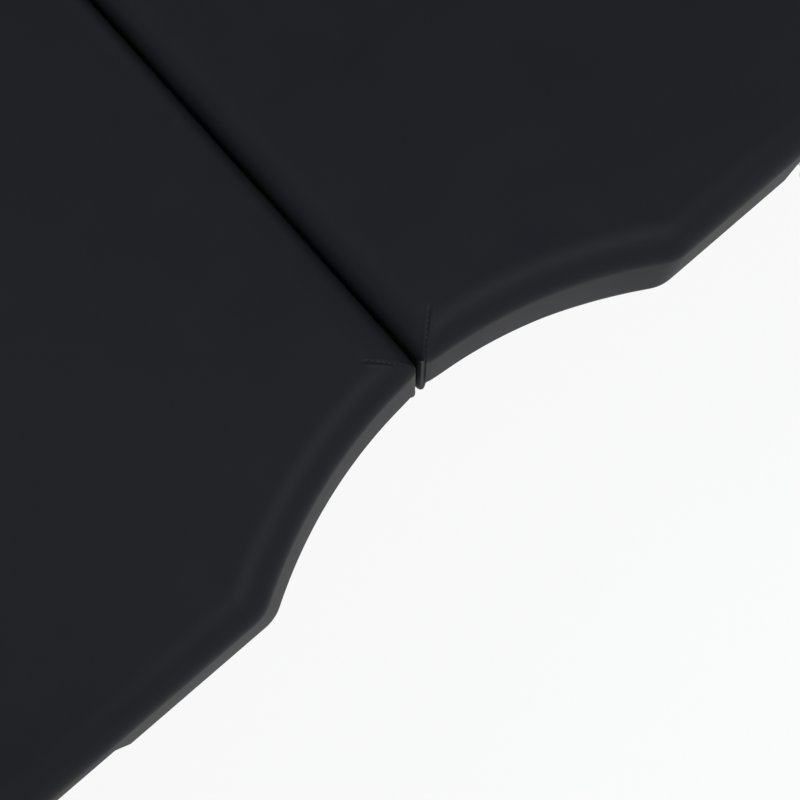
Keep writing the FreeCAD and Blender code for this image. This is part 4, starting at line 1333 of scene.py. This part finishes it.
@dataclass(frozen=True)
class Studio:
    """A pale floor, soft lamps, and the camera at the photograph's viewing angle.

    Angles are in degrees. The focal length and the picture's width are in pixels, the sensor's in mm. The
    sky's band is where, by the height of a reflected ray, white gives way to the grey overhead.
    """

    camera_place: tuple[float, float, float] = (-0.147456, -0.439086, 1.398723)
    azimuth: float = 38.064
    down: float = 77.402
    roll: float = -2.763
    focal: float = 1099.473
    picture: float = 800.0
    sensor: float = 36.0
    clip: tuple[float, float] = (0.01, 50.0)
    lamps: tuple[Lamp, ...] = (KEY, BACK)
    sky_colour: tuple[float, float, float] = (0.93, 0.96, 1.0)
    sky_strength: float = 0.5
    sky_band: tuple[float, float] = (0.25, 0.65)
    overhead: float = 0.15
    floor_half: float = 12.0
    floor_colour: tuple[float, float, float] = (0.82, 0.82, 0.82)
    floor_roughness: float = 0.9
    floor_glow: float = 0.86
    floor_cloud: float = 0.02

    def camera(self) -> None:
        """Turns the camera so that its axis points down by an angle, on a compass bearing from +Y to +X."""
        data = bpy.data.cameras.new("camera")
        data.sensor_width = self.sensor
        data.lens = self.focal * self.sensor / self.picture
        data.clip_start, data.clip_end = self.clip
        camera = bpy.data.objects.new("camera", data)
        bpy.context.scene.collection.objects.link(camera)
        turn, tip = math.radians(self.azimuth), math.radians(self.down)
        forward = Vector((math.sin(turn) * math.cos(tip), math.cos(turn) * math.cos(tip), -math.sin(tip)))
        right = Vector((math.cos(turn), -math.sin(turn), 0))
        up = right.cross(forward)
        axes = Matrix((right, up, -forward)).transposed().to_4x4()
        camera.matrix_world = (
            Matrix.Translation(self.camera_place) @ axes @ Matrix.Rotation(math.radians(self.roll), 4, "Z")
        )
        bpy.context.scene.camera = camera

    def seen(self, graph: Graph) -> Socket:
        """1 for rays that show the background: from the camera, in gloss and through glass."""
        path = graph.add("ShaderNodeLightPath", {}, {}, "Is Camera Ray")
        total = path + path.sibling("Is Glossy Ray") + path.sibling("Is Transmission Ray")
        return total.capped(1.0)

    def floor(self) -> None:
        """A wide pale floor that reads white and keeps a faint shadow."""
        ways = np.array([(-1, -1, 0), (1, -1, 0), (1, 1, 0), (-1, 1, 0)], float)
        made = mesh_object("studio_floor", ways * self.floor_half, np.array([[0, 1, 2, 3]]))
        graph = Graph("studio_floor")
        graph.surface(Base_Color=self.floor_colour, Roughness=self.floor_roughness)
        glow = graph.add("ShaderNodeEmission", {}, {"Color": (1.0, 1.0, 1.0), "Strength": 1.0})
        cloud = graph.noise(graph.place(), 0.8, 1)
        share = self.seen(graph) * (self.floor_glow + cloud * self.floor_cloud)
        inputs = {0: share, 1: Socket(graph, graph.shader.outputs[0]), 2: glow}
        mixed = graph.add("ShaderNodeMixShader", {}, inputs)
        graph.links.new(mixed.output, graph.end.inputs["Surface"])
        made.data.materials.append(graph.material)

    def world(self) -> None:
        """White to the camera, white low down and grey overhead in gloss, and grey where it only lights."""
        world = bpy.data.worlds.new("studio")
        bpy.context.scene.world = world
        world.use_nodes = True
        nodes, links = world.node_tree.nodes, world.node_tree.links
        nodes.clear()
        path = nodes.new("ShaderNodeLightPath")
        lit = nodes.new("ShaderNodeBackground")
        lit.inputs["Color"].default_value = (*self.sky_colour, 1.0)
        lit.inputs["Strength"].default_value = self.sky_strength
        where = nodes.new("ShaderNodeTexCoord")
        parts = nodes.new("ShaderNodeSeparateXYZ")
        links.new(where.outputs["Generated"], parts.inputs[0])
        height = nodes.new("ShaderNodeMapRange")
        height.interpolation_type = "SMOOTHSTEP"
        height.inputs["From Min"].default_value, height.inputs["From Max"].default_value = self.sky_band
        height.inputs["To Min"].default_value = 1.0
        height.inputs["To Max"].default_value = self.overhead
        links.new(parts.outputs["Z"], height.inputs["Value"])
        mirrored = nodes.new("ShaderNodeBackground")
        links.new(height.outputs[0], mirrored.inputs["Strength"])
        shown = nodes.new("ShaderNodeBackground")
        for plain in (mirrored, shown):
            plain.inputs["Color"].default_value = (1, 1, 1, 1)
        in_gloss = nodes.new("ShaderNodeMixShader")
        in_view = nodes.new("ShaderNodeMixShader")
        end = nodes.new("ShaderNodeOutputWorld")
        links.new(path.outputs["Is Glossy Ray"], in_gloss.inputs[0])
        links.new(lit.outputs[0], in_gloss.inputs[1])
        links.new(mirrored.outputs[0], in_gloss.inputs[2])
        links.new(path.outputs["Is Camera Ray"], in_view.inputs[0])
        links.new(in_gloss.outputs[0], in_view.inputs[1])
        links.new(shown.outputs[0], in_view.inputs[2])
        links.new(in_view.outputs[0], end.inputs["Surface"])

    def build(self) -> None:
        """Sets the view transform and builds everything round the object."""
        scene = bpy.context.scene
        scene.view_settings.view_transform = "Standard"
        self.floor()
        self.world()
        for lamp in self.lamps:
            lamp.build()
        self.camera()


def corners(bounds: tuple) -> list[list[float]]:
    """A box's two corners as plain lists."""
    return [list(map(float, corner)) for corner in bounds]


def main() -> None:
    """Loads the frame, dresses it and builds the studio."""
    logging.basicConfig(level=logging.INFO, format="%(name)s: %(message)s")
    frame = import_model()
    leather = Leatherette().material()
    Dressing(leather).dress(frame["nodes"])
    Padding().build(leather, THREAD.material())
    Fasteners(ZINC.material()).build()
    Studio().build()


if __name__ == "__main__":
    main()
